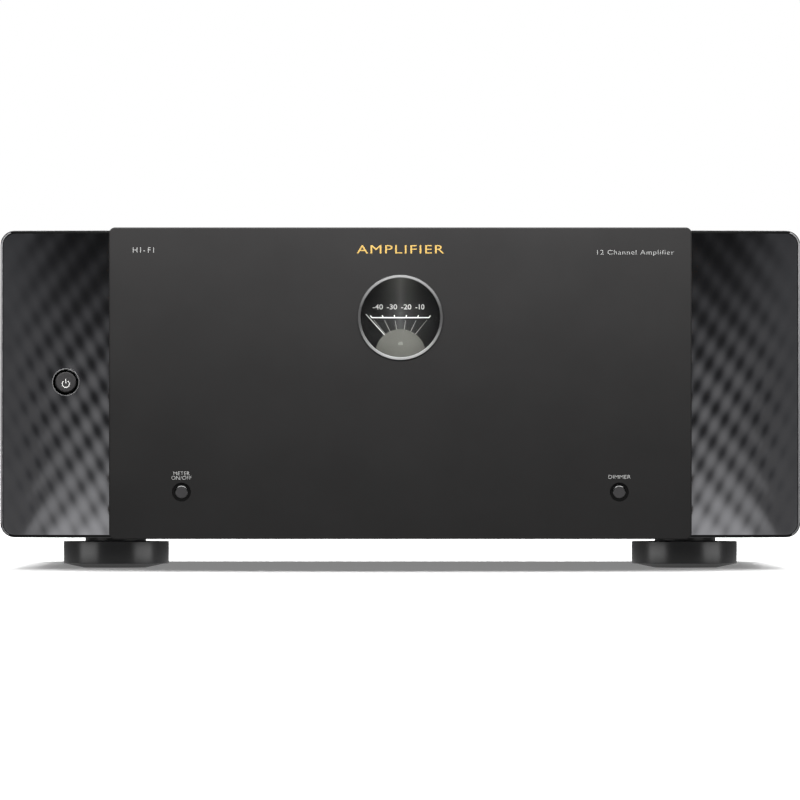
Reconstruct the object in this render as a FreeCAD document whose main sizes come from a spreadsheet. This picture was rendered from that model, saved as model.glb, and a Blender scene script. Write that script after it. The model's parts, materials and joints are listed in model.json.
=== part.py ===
import FreeCAD, Part
import math
import os
import re
import Sketcher
from FreeCAD import Placement, Rotation, Vector

# A full-width, twelve-channel power amplifier.
# Frame: origin on the floor under the middle of the bounding box, +X to the right seen from
# the front, +Y to the rear, +Z up.  Every number below is in millimetres or degrees.

SIZES = {
    # whole object
    "overall_width": 442,
    "overall_depth": 503,
    # centre panel
    "panel_width": 320.4,
    "panel_bottom": 16.4,
    "panel_top": 187.8,
    "panel_thickness": 8,
    "panel_corner": 3.3,
    "panel_edge": 0.6,
    "panel_gap": 5,
    "standoff_radius": 5,
    "standoff_x": 118,
    "standoff_low_z": 28,
    "standoff_high_z": 176,
    # wings and the frame between them
    "wing_bottom": 17,
    "wing_top": 186.4,
    "wing_depth": 38,
    "wing_wall": 3,
    "wing_inner_x": 150,
    "wing_bend_x": 155,
    "wing_bend_radius": 85,
    "wing_corner": 8,
    "frame_wall": 2.5,
    "light_width": 8,
    "light_margin": 6,
    # meter
    "meter_z": 138.3,
    "bezel_radius": 23.7,
    "bezel_proud": 0.5,
    "bezel_lip": 1,
    "bezel_lip_radius": 21.9,
    "bezel_bore_radius": 23,
    "lens_radius": 22.95,
    "lens_rim": 1.5,
    "lens_dome": 0.7,
    "lens_dome_clearance": 0.2,
    "housing_width": 60,
    "housing_depth": 28,
    "housing_wall": 2,
    "housing_mouth_radius": 23.4,
    "housing_mouth_depth": 4.5,
    "housing_clearance": 0.3,
    "dial_radius": 23.35,
    "dial_set_back": 3.5,
    "dial_thickness": 1,
    "dial_hole_radius": 2.5,
    "pivot_drop": 19.2,
    "mask_radius": 14,
    "mask_drop": 20.4,
    "mask_set_back": 0.4,
    "mask_thickness": 0.6,
    "mask_post_radius": 1,
    "mask_post_x": 9,
    "mask_post_drop": 1,
    "needle_length": 28.2,
    "needle_width": 0.42,
    "needle_thickness": 0.4,
    "needle_set_back": 1.8,
    "needle_tail": 4,
    "needle_tail_width": 1.6,
    "needle_rest_angle": 41.9,
    "hub_radius": 2.2,
    "hub_length": 1,
    "shaft_radius": 1,
    "shaft_length": 15,
    "shaft_clearance": 0.06,
    "movement_width": 16,
    "movement_gap": 1.5,
    # small buttons in the centre panel
    "key_x": 120.4,
    "key_z": 42.3,
    "key_radius": 3.75,
    "key_clearance": 0.07,
    "key_recess_radius": 5.2,
    "key_recess_depth": 2.5,
    "key_set_back": 0.3,
    "key_length": 6.5,
    "key_stem_radius": 1.5,
    "key_stem_hole": 3,
    "key_travel": 1,
    "switch_gap": 0.1,
    "switch_width": 6,
    "switch_height": 4,
    "plunger_radius": 1.7,
    "plunger_length": 1,
    "board_thickness": 1.6,
    "key_board_set_back": 9.5,
    "key_board_width": 270,
    "key_board_height": 30,
    "pillar_radius": 3,
    "key_pillar_x": 100,
    # power button in the left wing
    "power_x": -184.3,
    "power_z": 102.7,
    "power_ring_radius": 7.5,
    "power_ring_bore": 6.6,
    "power_ring_front": -235.6,
    "power_ring_length": 13,
    "power_guide_length": 6,
    "power_cap_radius": 6.2,
    "power_cap_set_back": 0.4,
    "power_cap_length": 10,
    "power_stem_radius": 2,
    "power_travel": 1.5,
    "power_board_gap": 7.4,
    "power_board_width": 30,
    "power_pillar_reach": 11,
    # chassis
    "tray_half_width": 214,
    "tray_bottom": 17.5,
    "tray_sheet": 2,
    "tray_top": 183,
    "tray_back": 218,
    "cable_slot_width": 60,
    "cable_slot_height": 20,
    "cable_slot_z": 60,
    "cable_slot_x": 90,
    "cover_sheet": 1.5,
    "cover_overhang": 1,
    "vent_width": 3.2,
    "vent_length": 52,
    "vent_pitch": 9,
    "vent_count": 40,
    "vent_row_pitch": 66,
    "vent_row_count": 5,
    "vent_first_y": -158,
    "rear_sheet": 2,
    # feet
    "foot_height": 14.7,
    "foot_radius": 29.6,
    "foot_base_radius": 29.4,
    "foot_base_height": 2.2,
    "foot_taper_height": 9,
    "foot_neck_radius": 16.5,
    "rear_foot_radius": 16.5,
    "rear_foot_base_radius": 16.2,
    "front_foot_x": 158.3,
    "rear_foot_x": 164.5,
    "foot_y": 170,
    "pad_radius": 27.5,
    "rear_pad_radius": 14,
    "pad_foot_radius": 17,
    "rear_pad_foot_radius": 12,
    "pad_bore": 6,
    "pad_thickness": 3.4,
    "foot_screw_radius": 2,
    "foot_screw_head": 4.5,
    "foot_screw_head_height": 2,
    "foot_screw_length": 21,
    "cover_screw_head": 3,
    "cover_screw_head_height": 1.4,
    "cover_screw_z": 60,
    "cover_screw_first_y": -150,
    "cover_screw_pitch": 150,
    "cover_screw_count": 3,
    # rear sockets
    "channel_count": 12,
    "channel_first_x": -198,
    "channel_pitch": 30,
    "board_y": 199,
    "xlr_z": 152,
    "xlr_flange_width": 26,
    "xlr_flange_height": 31,
    "xlr_flange_thickness": 2,
    "xlr_flange_corner": 3,
    "xlr_body_radius": 11.5,
    "xlr_bore_radius": 9.4,
    "xlr_bore_depth": 17,
    "xlr_insert_radius": 6.9,
    "xlr_insert_length": 14,
    "xlr_pin_radius": 1.3,
    "xlr_pin_depth": 11,
    "xlr_pin_circle": 3.6,
    "rca_z": 117,
    "rca_flange_radius": 6.5,
    "rca_flange_thickness": 1.5,
    "rca_body_radius": 5,
    "rca_barrel_radius": 4.15,
    "rca_barrel_length": 9,
    "rca_hole_radius": 1.6,
    "rca_hole_depth": 8,
    "terminal_high_z": 84,
    "terminal_low_z": 52,
    "terminal_plate_width": 25,
    "terminal_plate_height": 58,
    "terminal_plate_thickness": 3,
    "terminal_collar_radius": 7.4,
    "terminal_collar_length": 5,
    "terminal_post_radius": 2,
    "terminal_post_length": 41,
    "terminal_post_start": 208,
    "nut_radius": 7.4,
    "nut_gap": 0.3,
    "nut_wall": 2.2,
    "nut_clearance": 0.06,
    "nut_edge": 1,
    "nut_flute_radius": 1.1,
    "nut_flute_offset": 7.9,
    "nut_flute_count": 12,
    "jack_z": 152,
    "jack_first_x": 163,
    "jack_pitch": 14,
    "jack_count": 4,
    "jack_flange_radius": 4.5,
    "jack_flange_thickness": 1.5,
    "jack_body_radius": 3.9,
    "jack_bore_radius": 1.8,
    "jack_bore_depth": 14,
    "inlet_x": 184,
    "inlet_z": 66,
    "inlet_flange_width": 58,
    "inlet_flange_height": 34,
    "inlet_flange_thickness": 2.5,
    "inlet_body_width": 36,
    "inlet_body_height": 27,
    "inlet_body_depth": 20,
    "inlet_cavity_width": 30,
    "inlet_cavity_height": 21,
    "inlet_cavity_depth": 18,
    "inlet_corner": 3,
    "inlet_pin_width": 2.5,
    "inlet_pin_height": 6,
    "inlet_pin_length": 13,
    "inlet_pin_x": 9,
    "inlet_pin_drop": 1,
    "inlet_earth_rise": 5,
    # inside
    "deck_z": 30,
    "psu_width": 390,
    "psu_front": -190,
    "psu_depth": 130,
    "psu_post_x": 185,
    "psu_post_inset": 8,
    "transformer_width": 62,
    "transformer_depth": 54,
    "transformer_height": 46,
    "transformer_pitch": 118,
    "transformer_inset": 12,
    "transformer_count": 3,
    "capacitor_radius": 15,
    "capacitor_height": 48,
    "capacitor_pitch": 46,
    "capacitor_count": 8,
    "capacitor_inset": 22,
    "module_count": 6,
    "module_pitch": 70,
    "module_width": 62,
    "module_front": -40,
    "module_depth": 170,
    "module_post_inset": 6,
    "choke_radius": 14,
    "choke_bore": 6,
    "choke_height": 14,
    "choke_inset": 18,
    "choke_x": 15,
    "sink_inset": 4,
    "sink_depth": 120,
    "sink_base": 6,
    "sink_fin": 2,
    "sink_fin_count": 8,
    "sink_fin_height": 34,
    "device_height": 5,
    "device_width": 44,
    "input_board_width": 360,
    "input_board_x": -211,
    "input_board_low": 104,
    "input_board_high": 172,
}

doc = FreeCAD.newDocument("PowerAmplifier")
sheet = doc.addObject("Spreadsheet::Sheet", "Sizes")
for row, (alias, value) in enumerate(SIZES.items(), start=1):
    sheet.set(f"A{row}", alias)
    sheet.set(f"B{row}", str(value))
    sheet.setAlias(f"B{row}", alias)
doc.recompute()

# Planes and places that follow from the sizes, as formulas of the sheet's aliases.
FRONT = "(bezel_proud - overall_depth / 2)"
PANEL_BACK = f"({FRONT} + panel_thickness)"
FRAME_FRONT = f"({PANEL_BACK} + panel_gap)"
WING_BACK = f"({FRAME_FRONT} + wing_depth)"
REAR_FACE = "(tray_back + rear_sheet)"
NECK_TOP = "tray_bottom"
PIVOT_Z = "(meter_z - pivot_drop)"
KEY_BOARD_Y = f"({FRAME_FRONT} + frame_wall + key_board_set_back)"
KEY_PLUNGER_Y = f"({KEY_BOARD_Y} - switch_height - plunger_length)"
POWER_BOARD_Y = f"({WING_BACK} - power_board_gap - board_thickness)"
POWER_PLUNGER_Y = f"({POWER_BOARD_Y} - switch_height - plunger_length)"
COLLAR_FACE = f"({REAR_FACE} + terminal_plate_thickness + terminal_collar_length)"
NUT_FACE = f"({COLLAR_FACE} + nut_gap)"
NUT_LENGTH = f"(overall_depth / 2 - {NUT_FACE})"
BOARD_BACK = "(board_y + board_thickness)"
MODULE_FIRST_X = "(0 - module_pitch * (module_count - 1) / 2)"
DECK_TOP = "(deck_z + board_thickness)"

ALONG_Y = Rotation(Vector(1, 0, 0), -90)


def size(alias):
    """Number held by one cell of the sheet."""
    return float(sheet.get(alias))


def formula(text):
    """Formula text with each alias written as a reference to the sheet."""
    def expand(word):
        name = word.group()
        return f"Sizes.{name}" if name in SIZES else name
    return re.sub(r"[a-z][a-z0-9_]*", expand, text)


def bind(thing, prop, text):
    """Tie one property to a formula of the sheet's sizes."""
    thing.setExpression(prop, formula(text))


def place(thing, x, y, z):
    """Tie the position of a thing to three formulas."""
    for axis, text in zip("xyz", (x, y, z)):
        bind(thing, f"Placement.Base.{axis}", text)
    return thing


def box(name, low, high):
    """Block between two corners, each given as three formulas."""
    block = doc.addObject("Part::Box", name)
    for prop, start, end in zip(("Length", "Width", "Height"), low, high):
        bind(block, prop, f"({end}) - ({start})")
    return place(block, *low)


def rod(name, x, z, front, back, radius):
    """Round bar along Y from front to back."""
    bar = doc.addObject("Part::Cylinder", name)
    bar.Placement.Rotation = ALONG_Y
    bind(bar, "Radius", radius)
    bind(bar, "Height", f"({back}) - ({front})")
    return place(bar, x, front, z)


def post(name, x, y, bottom, top, radius):
    """Round bar along Z from bottom to top."""
    bar = doc.addObject("Part::Cylinder", name)
    bind(bar, "Radius", radius)
    bind(bar, "Height", f"({top}) - ({bottom})")
    return place(bar, x, y, bottom)


def fuse(name, pieces):
    """One solid made from several that touch."""
    whole = doc.addObject("Part::MultiFuse", name)
    whole.Shapes = pieces
    return whole


def cut(name, base, tools):
    """Base with every tool taken out of it."""
    tool = tools[0] if len(tools) == 1 else fuse(f"{name}_tools", tools)
    rest = doc.addObject("Part::Cut", name)
    rest.Base = base
    rest.Tool = tool
    return rest


def group(name, pieces):
    """Separate solids kept together in one node."""
    whole = doc.addObject("Part::Compound", name)
    whole.Links = pieces
    return whole


def copy_of(name, master, x, y, z):
    """The same piece again in another place."""
    link = doc.addObject("App::Link", name)
    link.LinkedObject = master
    link.Placement.Rotation = master.Placement.Rotation
    return place(link, x, y, z)


def origin_plane(body, role):
    """One of a body's own origin planes or axes, found by its role."""
    return next(feature for feature in body.Origin.OriginFeatures if feature.Role == role)


def sketch_on(body, name, role, offset="0"):
    """Empty sketch on one of the body's origin planes, moved along its normal."""
    sketch = body.newObject("Sketcher::SketchObject", name)
    sketch.AttachmentSupport = (origin_plane(body, role), [""])
    sketch.MapMode = "FlatFace"
    bind(sketch, "AttachmentOffset.Base.z", offset)
    return sketch


def pin_point(sketch, index, point, x, y):
    """Hold one point of a sketch's geometry at two formulas."""
    for kind, text in (("DistanceX", x), ("DistanceY", y)):
        number = sketch.addConstraint(Sketcher.Constraint(kind, -1, 1, index, point, 1.0))
        bind(sketch, f"Constraints[{number}]", text)


def draw_circle(sketch, x, y, radius):
    """Circle with its centre and radius held by formulas."""
    index = sketch.addGeometry(Part.Circle(Vector(0, 0, 0), Vector(0, 0, 1), 1.0))
    pin_point(sketch, index, 3, x, y)
    number = sketch.addConstraint(Sketcher.Constraint("Radius", index, 1.0))
    bind(sketch, f"Constraints[{number}]", radius)


def draw_outline(sketch, points):
    """Closed outline of straight lines through points given as formulas."""
    count = len(points)
    turn = 2 * math.pi / count
    ring = [Vector(math.cos(turn * i), math.sin(turn * i), 0) for i in range(count)]
    first = sketch.GeometryCount
    for i in range(count):
        sketch.addGeometry(Part.LineSegment(ring[i], ring[(i + 1) % count]))
    for i in range(count):
        after = first + (i + 1) % count
        sketch.addConstraint(Sketcher.Constraint("Coincident", first + i, 2, after, 1))
    for i, (x, y) in enumerate(points):
        pin_point(sketch, first + i, 1, x, y)


def draw_rectangle(sketch, left, right, bottom, top):
    """Rectangle between four formulas."""
    draw_outline(sketch, [(left, bottom), (right, bottom), (right, top), (left, top)])


def pad(body, name, sketch, length, towards_rear=True):
    """Pad a front-view sketch; towards the rear when it is asked for."""
    feature = body.newObject("PartDesign::Pad", name)
    feature.Profile = sketch
    feature.Reversed = towards_rear
    bind(feature, "Length", length)
    doc.recompute()
    return feature


def pocket(body, name, sketch, length=None, both_ways=False, reverse=False):
    """Pocket a sketch and make sure that it took material away."""
    before = body.Shape.Volume
    feature = body.newObject("PartDesign::Pocket", name)
    feature.Profile = sketch
    feature.Reversed = reverse
    if length is None:
        feature.Type = "ThroughAll"
        feature.Midplane = both_ways
    else:
        bind(feature, "Length", length)
    doc.recompute()
    if body.Shape.Volume >= before:
        raise RuntimeError(f"{name} cuts nothing")
    return feature


def revolve(body, name, sketch, axis_role):
    """Turn a sketch all the way round one of the body's axes."""
    feature = body.newObject("PartDesign::Revolution", name)
    feature.Profile = sketch
    feature.ReferenceAxis = (origin_plane(body, axis_role), [""])
    feature.Angle = 360
    doc.recompute()
    return feature


def edges_where(shape, test):
    """Names of the edges of a shape whose middle and direction pass a test."""
    names = []
    for number, edge in enumerate(shape.Edges, start=1):
        middle = edge.valueAt((edge.FirstParameter + edge.LastParameter) / 2)
        if test(edge, middle):
            names.append(f"Edge{number}")
    return names


def round_edges(body, name, radius, test, kind="Fillet"):
    """Fillet or chamfer the edges of a body's last feature that pass a test."""
    last = body.Tip
    feature = body.newObject(f"PartDesign::{kind}", name)
    feature.Base = (last, edges_where(last.Shape, test))
    bind(feature, "Radius" if kind == "Fillet" else "Size", radius)
    doc.recompute()
    return feature


def runs_along(edge, axis):
    """Whether an edge is straight and parallel to an axis."""
    if not isinstance(edge.Curve, Part.Line):
        return False
    return abs(abs(edge.Curve.Direction.dot(axis)) - 1) < 1e-6


# ---------------------------------------------------------------- centre panel

def make_front_panel():
    """Thick slab with rounded corners, a porthole and two stepped button holes."""
    body = doc.addObject("PartDesign::Body", "front_panel")
    outline = sketch_on(body, "panel_outline", "XZ_Plane", f"0 - {FRONT}")
    draw_rectangle(outline, "0 - panel_width / 2", "panel_width / 2", "panel_bottom", "panel_top")
    pad(body, "panel_slab", outline, "panel_thickness")
    round_edges(body, "panel_corners", "panel_corner",
                lambda edge, middle: runs_along(edge, Vector(0, 1, 0)))
    front = body.Shape.BoundBox.YMin
    round_edges(body, "panel_front_edge", "panel_edge",
                lambda edge, middle: abs(middle.y - front) < 1e-3, kind="Chamfer")
    holes = sketch_on(body, "panel_holes", "XZ_Plane", f"0 - {FRONT}")
    draw_circle(holes, "0", "meter_z", "bezel_radius")
    for side in ("0 - key_x", "key_x"):
        draw_circle(holes, side, "key_z", "key_radius + key_clearance")
    pocket(body, "panel_through_holes", holes, both_ways=True)
    recesses = sketch_on(body, "key_recesses", "XZ_Plane", f"0 - {FRONT}")
    for side in ("0 - key_x", "key_x"):
        draw_circle(recesses, side, "key_z", "key_recess_radius")
    pocket(body, "key_recess_pockets", recesses, "key_recess_depth")
    return body


def make_panel_standoffs():
    """Six pillars that hold the centre panel off the frame."""
    pillars = []
    for column, x in enumerate(("0 - standoff_x", "0", "standoff_x")):
        for level, z in enumerate(("standoff_low_z", "standoff_high_z")):
            name = f"standoff_{column}_{level}"
            pillars.append(rod(name, x, z, PANEL_BACK, FRAME_FRONT, "standoff_radius"))
    return group("panel_standoffs", pillars)


def make_light_guides():
    """Two upright bars between the wings and the back of the centre panel."""
    bars = []
    for name, low, high in (("left_light", "0 - wing_inner_x - light_width", "0 - wing_inner_x"),
                            ("right_light", "wing_inner_x", "wing_inner_x + light_width")):
        bars.append(box(name, (low, PANEL_BACK, "wing_bottom + light_margin"),
                        (high, FRAME_FRONT, "wing_top - light_margin")))
    return group("light_guides", bars)


# ---------------------------------------------------------------- wings and frame

def wing_block(name, inset):
    """Left wing's outer shape, or its hollow when it is inset by a wall."""
    body = doc.addObject("PartDesign::Body", name)
    front = f"{FRAME_FRONT} + {inset}"
    outer = f"0 - overall_width / 2 + {inset}"
    outline = sketch_on(body, f"{name}_outline", "XZ_Plane", f"0 - ({front})")
    draw_rectangle(outline, outer, f"0 - wing_inner_x - {inset}",
                   f"wing_bottom + {inset}", f"wing_top - {inset}")
    pad(body, f"{name}_pad", outline, f"wing_depth - {inset}")
    corner_x = inset_size(inset) - size("overall_width") / 2
    round_edges(body, f"{name}_corners", f"wing_corner - {inset} / 2",
                lambda edge, middle: runs_along(edge, Vector(0, 1, 0))
                and abs(middle.x - corner_x) < 1e-3)
    sweep = sketch_on(body, f"{name}_sweep", "XY_Plane")
    draw_sweep(sweep, inset, outer)
    pocket(body, f"{name}_bend", sweep, both_ways=True)
    return body


def inset_size(inset):
    """Number for an inset that is either nothing or the wing's wall."""
    return size("wing_wall") if inset == "wing_wall" else 0.0


def draw_sweep(sketch, inset, outer):
    """Region ahead of the wing's bend: an arc from the flat front to the outer side."""
    radius = size("wing_bend_radius") - inset_size(inset)
    bend_y = size("bezel_proud") - size("overall_depth") / 2 + size("panel_thickness")
    bend_y += size("panel_gap") + size("wing_bend_radius")
    centre = Vector(-size("wing_bend_x"), bend_y, 0)
    outer_x = inset_size(inset) - size("overall_width") / 2
    drop = math.sqrt(radius ** 2 - (outer_x - centre.x) ** 2)
    start = Vector(centre.x, centre.y - radius, 0)
    end = Vector(outer_x, centre.y - drop, 0)
    angle = math.atan2(end.y - centre.y, end.x - centre.x)
    circle = Part.Circle(centre, Vector(0, 0, 1), radius)
    arc = sketch.addGeometry(Part.ArcOfCircle(circle, angle, -math.pi / 2))
    ahead = -size("overall_depth") / 2
    beyond = -size("overall_width") / 2 - size("wing_wall")
    corners = [start, Vector(start.x, ahead, 0), Vector(beyond, ahead, 0),
               Vector(beyond, end.y, 0), end]
    lines = [sketch.addGeometry(Part.LineSegment(near, far))
             for near, far in zip(corners, corners[1:])]
    sketch.addConstraint(Sketcher.Constraint("Coincident", arc, 2, lines[0], 1))
    for near, far in zip(lines, lines[1:]):
        sketch.addConstraint(Sketcher.Constraint("Coincident", near, 2, far, 1))
    sketch.addConstraint(Sketcher.Constraint("Coincident", lines[3], 2, arc, 1))
    sketch.addConstraint(Sketcher.Constraint("Vertical", lines[0]))
    sketch.addConstraint(Sketcher.Constraint("Horizontal", lines[1]))
    sketch.addConstraint(Sketcher.Constraint("Vertical", lines[2]))
    sketch.addConstraint(Sketcher.Constraint("Horizontal", lines[3]))
    pin_point(sketch, arc, 3, "0 - wing_bend_x", f"{FRAME_FRONT} + wing_bend_radius")
    rounding = sketch.addConstraint(Sketcher.Constraint("Radius", arc, radius))
    bind(sketch, f"Constraints[{rounding}]", f"wing_bend_radius - {inset}")
    held = (("DistanceX", lines[0], 1, "0 - wing_bend_x"),
            ("DistanceX", arc, 1, outer),
            ("DistanceY", lines[0], 2, "0 - overall_depth / 2"),
            ("DistanceX", lines[1], 2, "0 - overall_width / 2 - wing_wall"))
    for kind, index, point, text in held:
        number = sketch.addConstraint(Sketcher.Constraint(kind, -1, 1, index, point, 1.0))
        bind(sketch, f"Constraints[{number}]", text)


def make_wing_shell():
    """Left wing without its button hole: a cup that is open at the back."""
    return cut("wing_shell", wing_block("wing_outer", "0"), [wing_block("wing_hollow", "wing_wall")])


def make_left_wing(shell):
    """Wing with the hole for the power button's ring."""
    bore = rod("power_hole", "power_x", "power_z", "0 - overall_depth / 2", WING_BACK,
               "power_ring_radius")
    return cut("left_wing", shell, [bore])


def make_right_wing(shell):
    """Mirror image of the left wing, with no hole."""
    wing = doc.addObject("Part::Mirroring", "right_wing")
    wing.Source = shell
    wing.Normal = Vector(1, 0, 0)
    return wing


def make_front_frame():
    """Hollow box between the wings that carries the centre panel, open at the back."""
    outer = box("frame_block", ("0 - wing_inner_x", FRAME_FRONT, "wing_bottom"),
                ("wing_inner_x", WING_BACK, "wing_top"))
    hollow = box("frame_hollow", ("0 - wing_inner_x + frame_wall", f"{FRAME_FRONT} + frame_wall",
                                  "wing_bottom + frame_wall"),
                 ("wing_inner_x - frame_wall", WING_BACK, "wing_top - frame_wall"))
    half = "(housing_width / 2 + housing_clearance)"
    window = box("frame_window", (f"0 - {half}", FRAME_FRONT, f"meter_z - {half}"),
                 (half, f"{FRAME_FRONT} + frame_wall", f"meter_z + {half}"))
    holes = [rod(f"frame_key_hole_{i}", x, "key_z", FRAME_FRONT,
                 f"{FRAME_FRONT} + frame_wall", "key_stem_hole")
             for i, x in enumerate(("0 - key_x", "key_x"))]
    return cut("front_frame", outer, [hollow, window] + holes)


# ---------------------------------------------------------------- meter

def make_meter_bezel():
    """Thin ring with a lip that holds the lens, turned about the meter's axis."""
    body = doc.addObject("PartDesign::Body", "meter_bezel")
    section = sketch_on(body, "bezel_section", "XY_Plane")
    start = "0 - bezel_proud"
    draw_outline(section, [("bezel_lip_radius", start),
                           ("bezel_radius", start),
                           ("bezel_radius", "panel_thickness"),
                           ("bezel_bore_radius", "panel_thickness"),
                           ("bezel_bore_radius", f"{start} + bezel_lip"),
                           ("bezel_lip_radius", f"{start} + bezel_lip")])
    revolve(body, "bezel_turning", section, "Y_Axis")
    return place(body, "0", FRONT, "meter_z")


def make_meter_lens():
    """Window with a flat rim and a low dome that fills the bezel's mouth."""
    rim = rod("lens_rim_disc", "0", "meter_z", f"{FRONT} - bezel_proud + bezel_lip",
              f"{FRONT} - bezel_proud + bezel_lip + lens_rim", "lens_radius")
    dome = doc.addObject("Part::Sphere", "lens_ball")
    reach = "(bezel_lip_radius - lens_dome_clearance)"
    ball = f"(({reach}) ^ 2 + lens_dome ^ 2) / (2 * lens_dome)"
    bind(dome, "Radius", ball)
    place(dome, "0", f"{FRONT} - bezel_proud + bezel_lip - lens_dome + {ball}", "meter_z")
    slab = rod("lens_dome_slab", "0", "meter_z", f"{FRONT} - bezel_proud",
               f"{FRONT} - bezel_proud + bezel_lip", reach)
    cap = doc.addObject("Part::Common", "lens_cap")
    cap.Base = dome
    cap.Tool = slab
    return fuse("meter_lens", [rim, cap])


def make_meter_housing():
    """Square cup with a round mouth behind the centre panel."""
    half = "housing_width / 2"
    back = f"{PANEL_BACK} + housing_depth"
    outer = box("housing_block", (f"0 - {half}", PANEL_BACK, f"meter_z - {half}"),
                (half, back, f"meter_z + {half}"))
    inner = f"({half} - housing_wall)"
    room = box("housing_room", (f"0 - {inner}", f"{PANEL_BACK} + housing_mouth_depth",
                                f"meter_z - {inner}"),
               (inner, f"{back} - housing_wall", f"meter_z + {inner}"))
    mouth = rod("housing_mouth", "0", "meter_z", PANEL_BACK,
                f"{PANEL_BACK} + housing_mouth_depth", "housing_mouth_radius")
    return cut("meter_housing", outer, [room, mouth])


def make_meter_movement():
    """Magnet block with the bore in which the needle's shaft turns."""
    half = "movement_width / 2"
    front = f"({PANEL_BACK} + dial_set_back + dial_thickness + movement_gap)"
    back = f"({PANEL_BACK} + housing_depth - housing_wall)"
    magnet = box("movement_block", (f"0 - {half}", front, f"{PIVOT_Z} - {half}"),
                 (half, back, f"{PIVOT_Z} + {half}"))
    bearing = rod("movement_bore", "0", PIVOT_Z, front,
                  f"{PANEL_BACK} + needle_set_back + shaft_length + hub_length",
                  "shaft_radius + shaft_clearance")
    return cut("meter_movement", magnet, [bearing])


def make_meter_dial():
    """Round plate with a hole for the needle's shaft."""
    front = f"({PANEL_BACK} + dial_set_back)"
    plate = rod("dial_plate", "0", "meter_z", front, f"{front} + dial_thickness", "dial_radius")
    hole = rod("dial_hole", "0", PIVOT_Z, front, f"{front} + dial_thickness", "dial_hole_radius")
    return cut("meter_dial", plate, [hole])


def make_meter_mask():
    """Disc in front of the needle's root, trimmed by the dial and held by two posts."""
    front = f"({PANEL_BACK} + mask_set_back)"
    back = f"({front} + mask_thickness)"
    disc = rod("mask_disc", "0", "meter_z - mask_drop", front, back, "mask_radius")
    limit = rod("mask_limit", "0", "meter_z", front, back, "dial_radius")
    lens_shape = doc.addObject("Part::Common", "mask_plate")
    lens_shape.Base = disc
    lens_shape.Tool = limit
    posts = [rod(f"mask_post_{i}", x, f"{PIVOT_Z} + mask_post_drop", back,
                 f"{PANEL_BACK} + dial_set_back", "mask_post_radius")
             for i, x in enumerate(("0 - mask_post_x", "mask_post_x"))]
    return fuse("meter_mask", [lens_shape] + posts)


def make_meter_needle():
    """Pointer, hub, counterweight tail and shaft, tilted to the rest angle."""
    half = "needle_width / 2"
    tail_half = "needle_tail_width / 2"
    pointer = box("needle_pointer", (f"0 - {half}", "0", "0"),
                  (half, "needle_thickness", "needle_length"))
    tail = box("needle_tail_bar", (f"0 - {tail_half}", "0", "0 - needle_tail"),
               (tail_half, "needle_thickness", "0"))
    hub = rod("needle_hub", "0", "0", "0", "hub_length", "hub_radius")
    shaft = rod("needle_shaft", "0", "0", "0", "shaft_length", "shaft_radius")
    needle = fuse("meter_needle", [pointer, tail, hub, shaft])
    needle.Placement.Rotation = Rotation(Vector(0, 1, 0), -size("needle_rest_angle"))
    return place(needle, "0", f"{PANEL_BACK} + needle_set_back", PIVOT_Z)


# ---------------------------------------------------------------- buttons and their switches

def make_key(name, x):
    """Small round button with a stem that reaches its switch."""
    face = f"({FRONT} + key_set_back)"
    cap = rod(f"{name}_cap", x, "key_z", face, f"{face} + key_length", "key_radius")
    stem = rod(f"{name}_stem", x, "key_z", f"{face} + key_length",
               f"{KEY_PLUNGER_Y} - key_travel - switch_gap", "key_stem_radius")
    return fuse(name, [cap, stem])


def make_power_ring():
    """Bright ring in the wing; its rear end guides the cap."""
    back = "(power_ring_front + power_ring_length)"
    sleeve = rod("ring_sleeve", "power_x", "power_z", "power_ring_front", back,
                 "power_ring_radius")
    mouth = rod("ring_mouth", "power_x", "power_z", "power_ring_front",
                f"{back} - power_guide_length", "power_ring_bore")
    guide = rod("ring_guide", "power_x", "power_z", "power_ring_front", back,
                "power_cap_radius + key_clearance")
    return cut("power_ring", sleeve, [mouth, guide])


def make_power_button():
    """Round cap with a stem that reaches its switch."""
    face = "(power_ring_front + power_cap_set_back)"
    cap = rod("power_cap", "power_x", "power_z", face, f"{face} + power_cap_length",
              "power_cap_radius")
    stem = rod("power_stem", "power_x", "power_z", f"{face} + power_cap_length",
               f"{POWER_PLUNGER_Y} - power_travel - switch_gap", "power_stem_radius")
    return fuse("power_button", [cap, stem])


def make_switch(name, x, z, board_y):
    """Push switch: a square case with a round plunger towards the front."""
    half = "switch_width / 2"
    case = box(f"{name}_case", (f"{x} - {half}", f"{board_y} - switch_height", f"{z} - {half}"),
               (f"{x} + {half}", board_y, f"{z} + {half}"))
    plunger = rod(f"{name}_plunger", x, z, f"{board_y} - switch_height - plunger_length",
                  f"{board_y} - switch_height", "plunger_radius")
    return fuse(name, [case, plunger])


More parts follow.
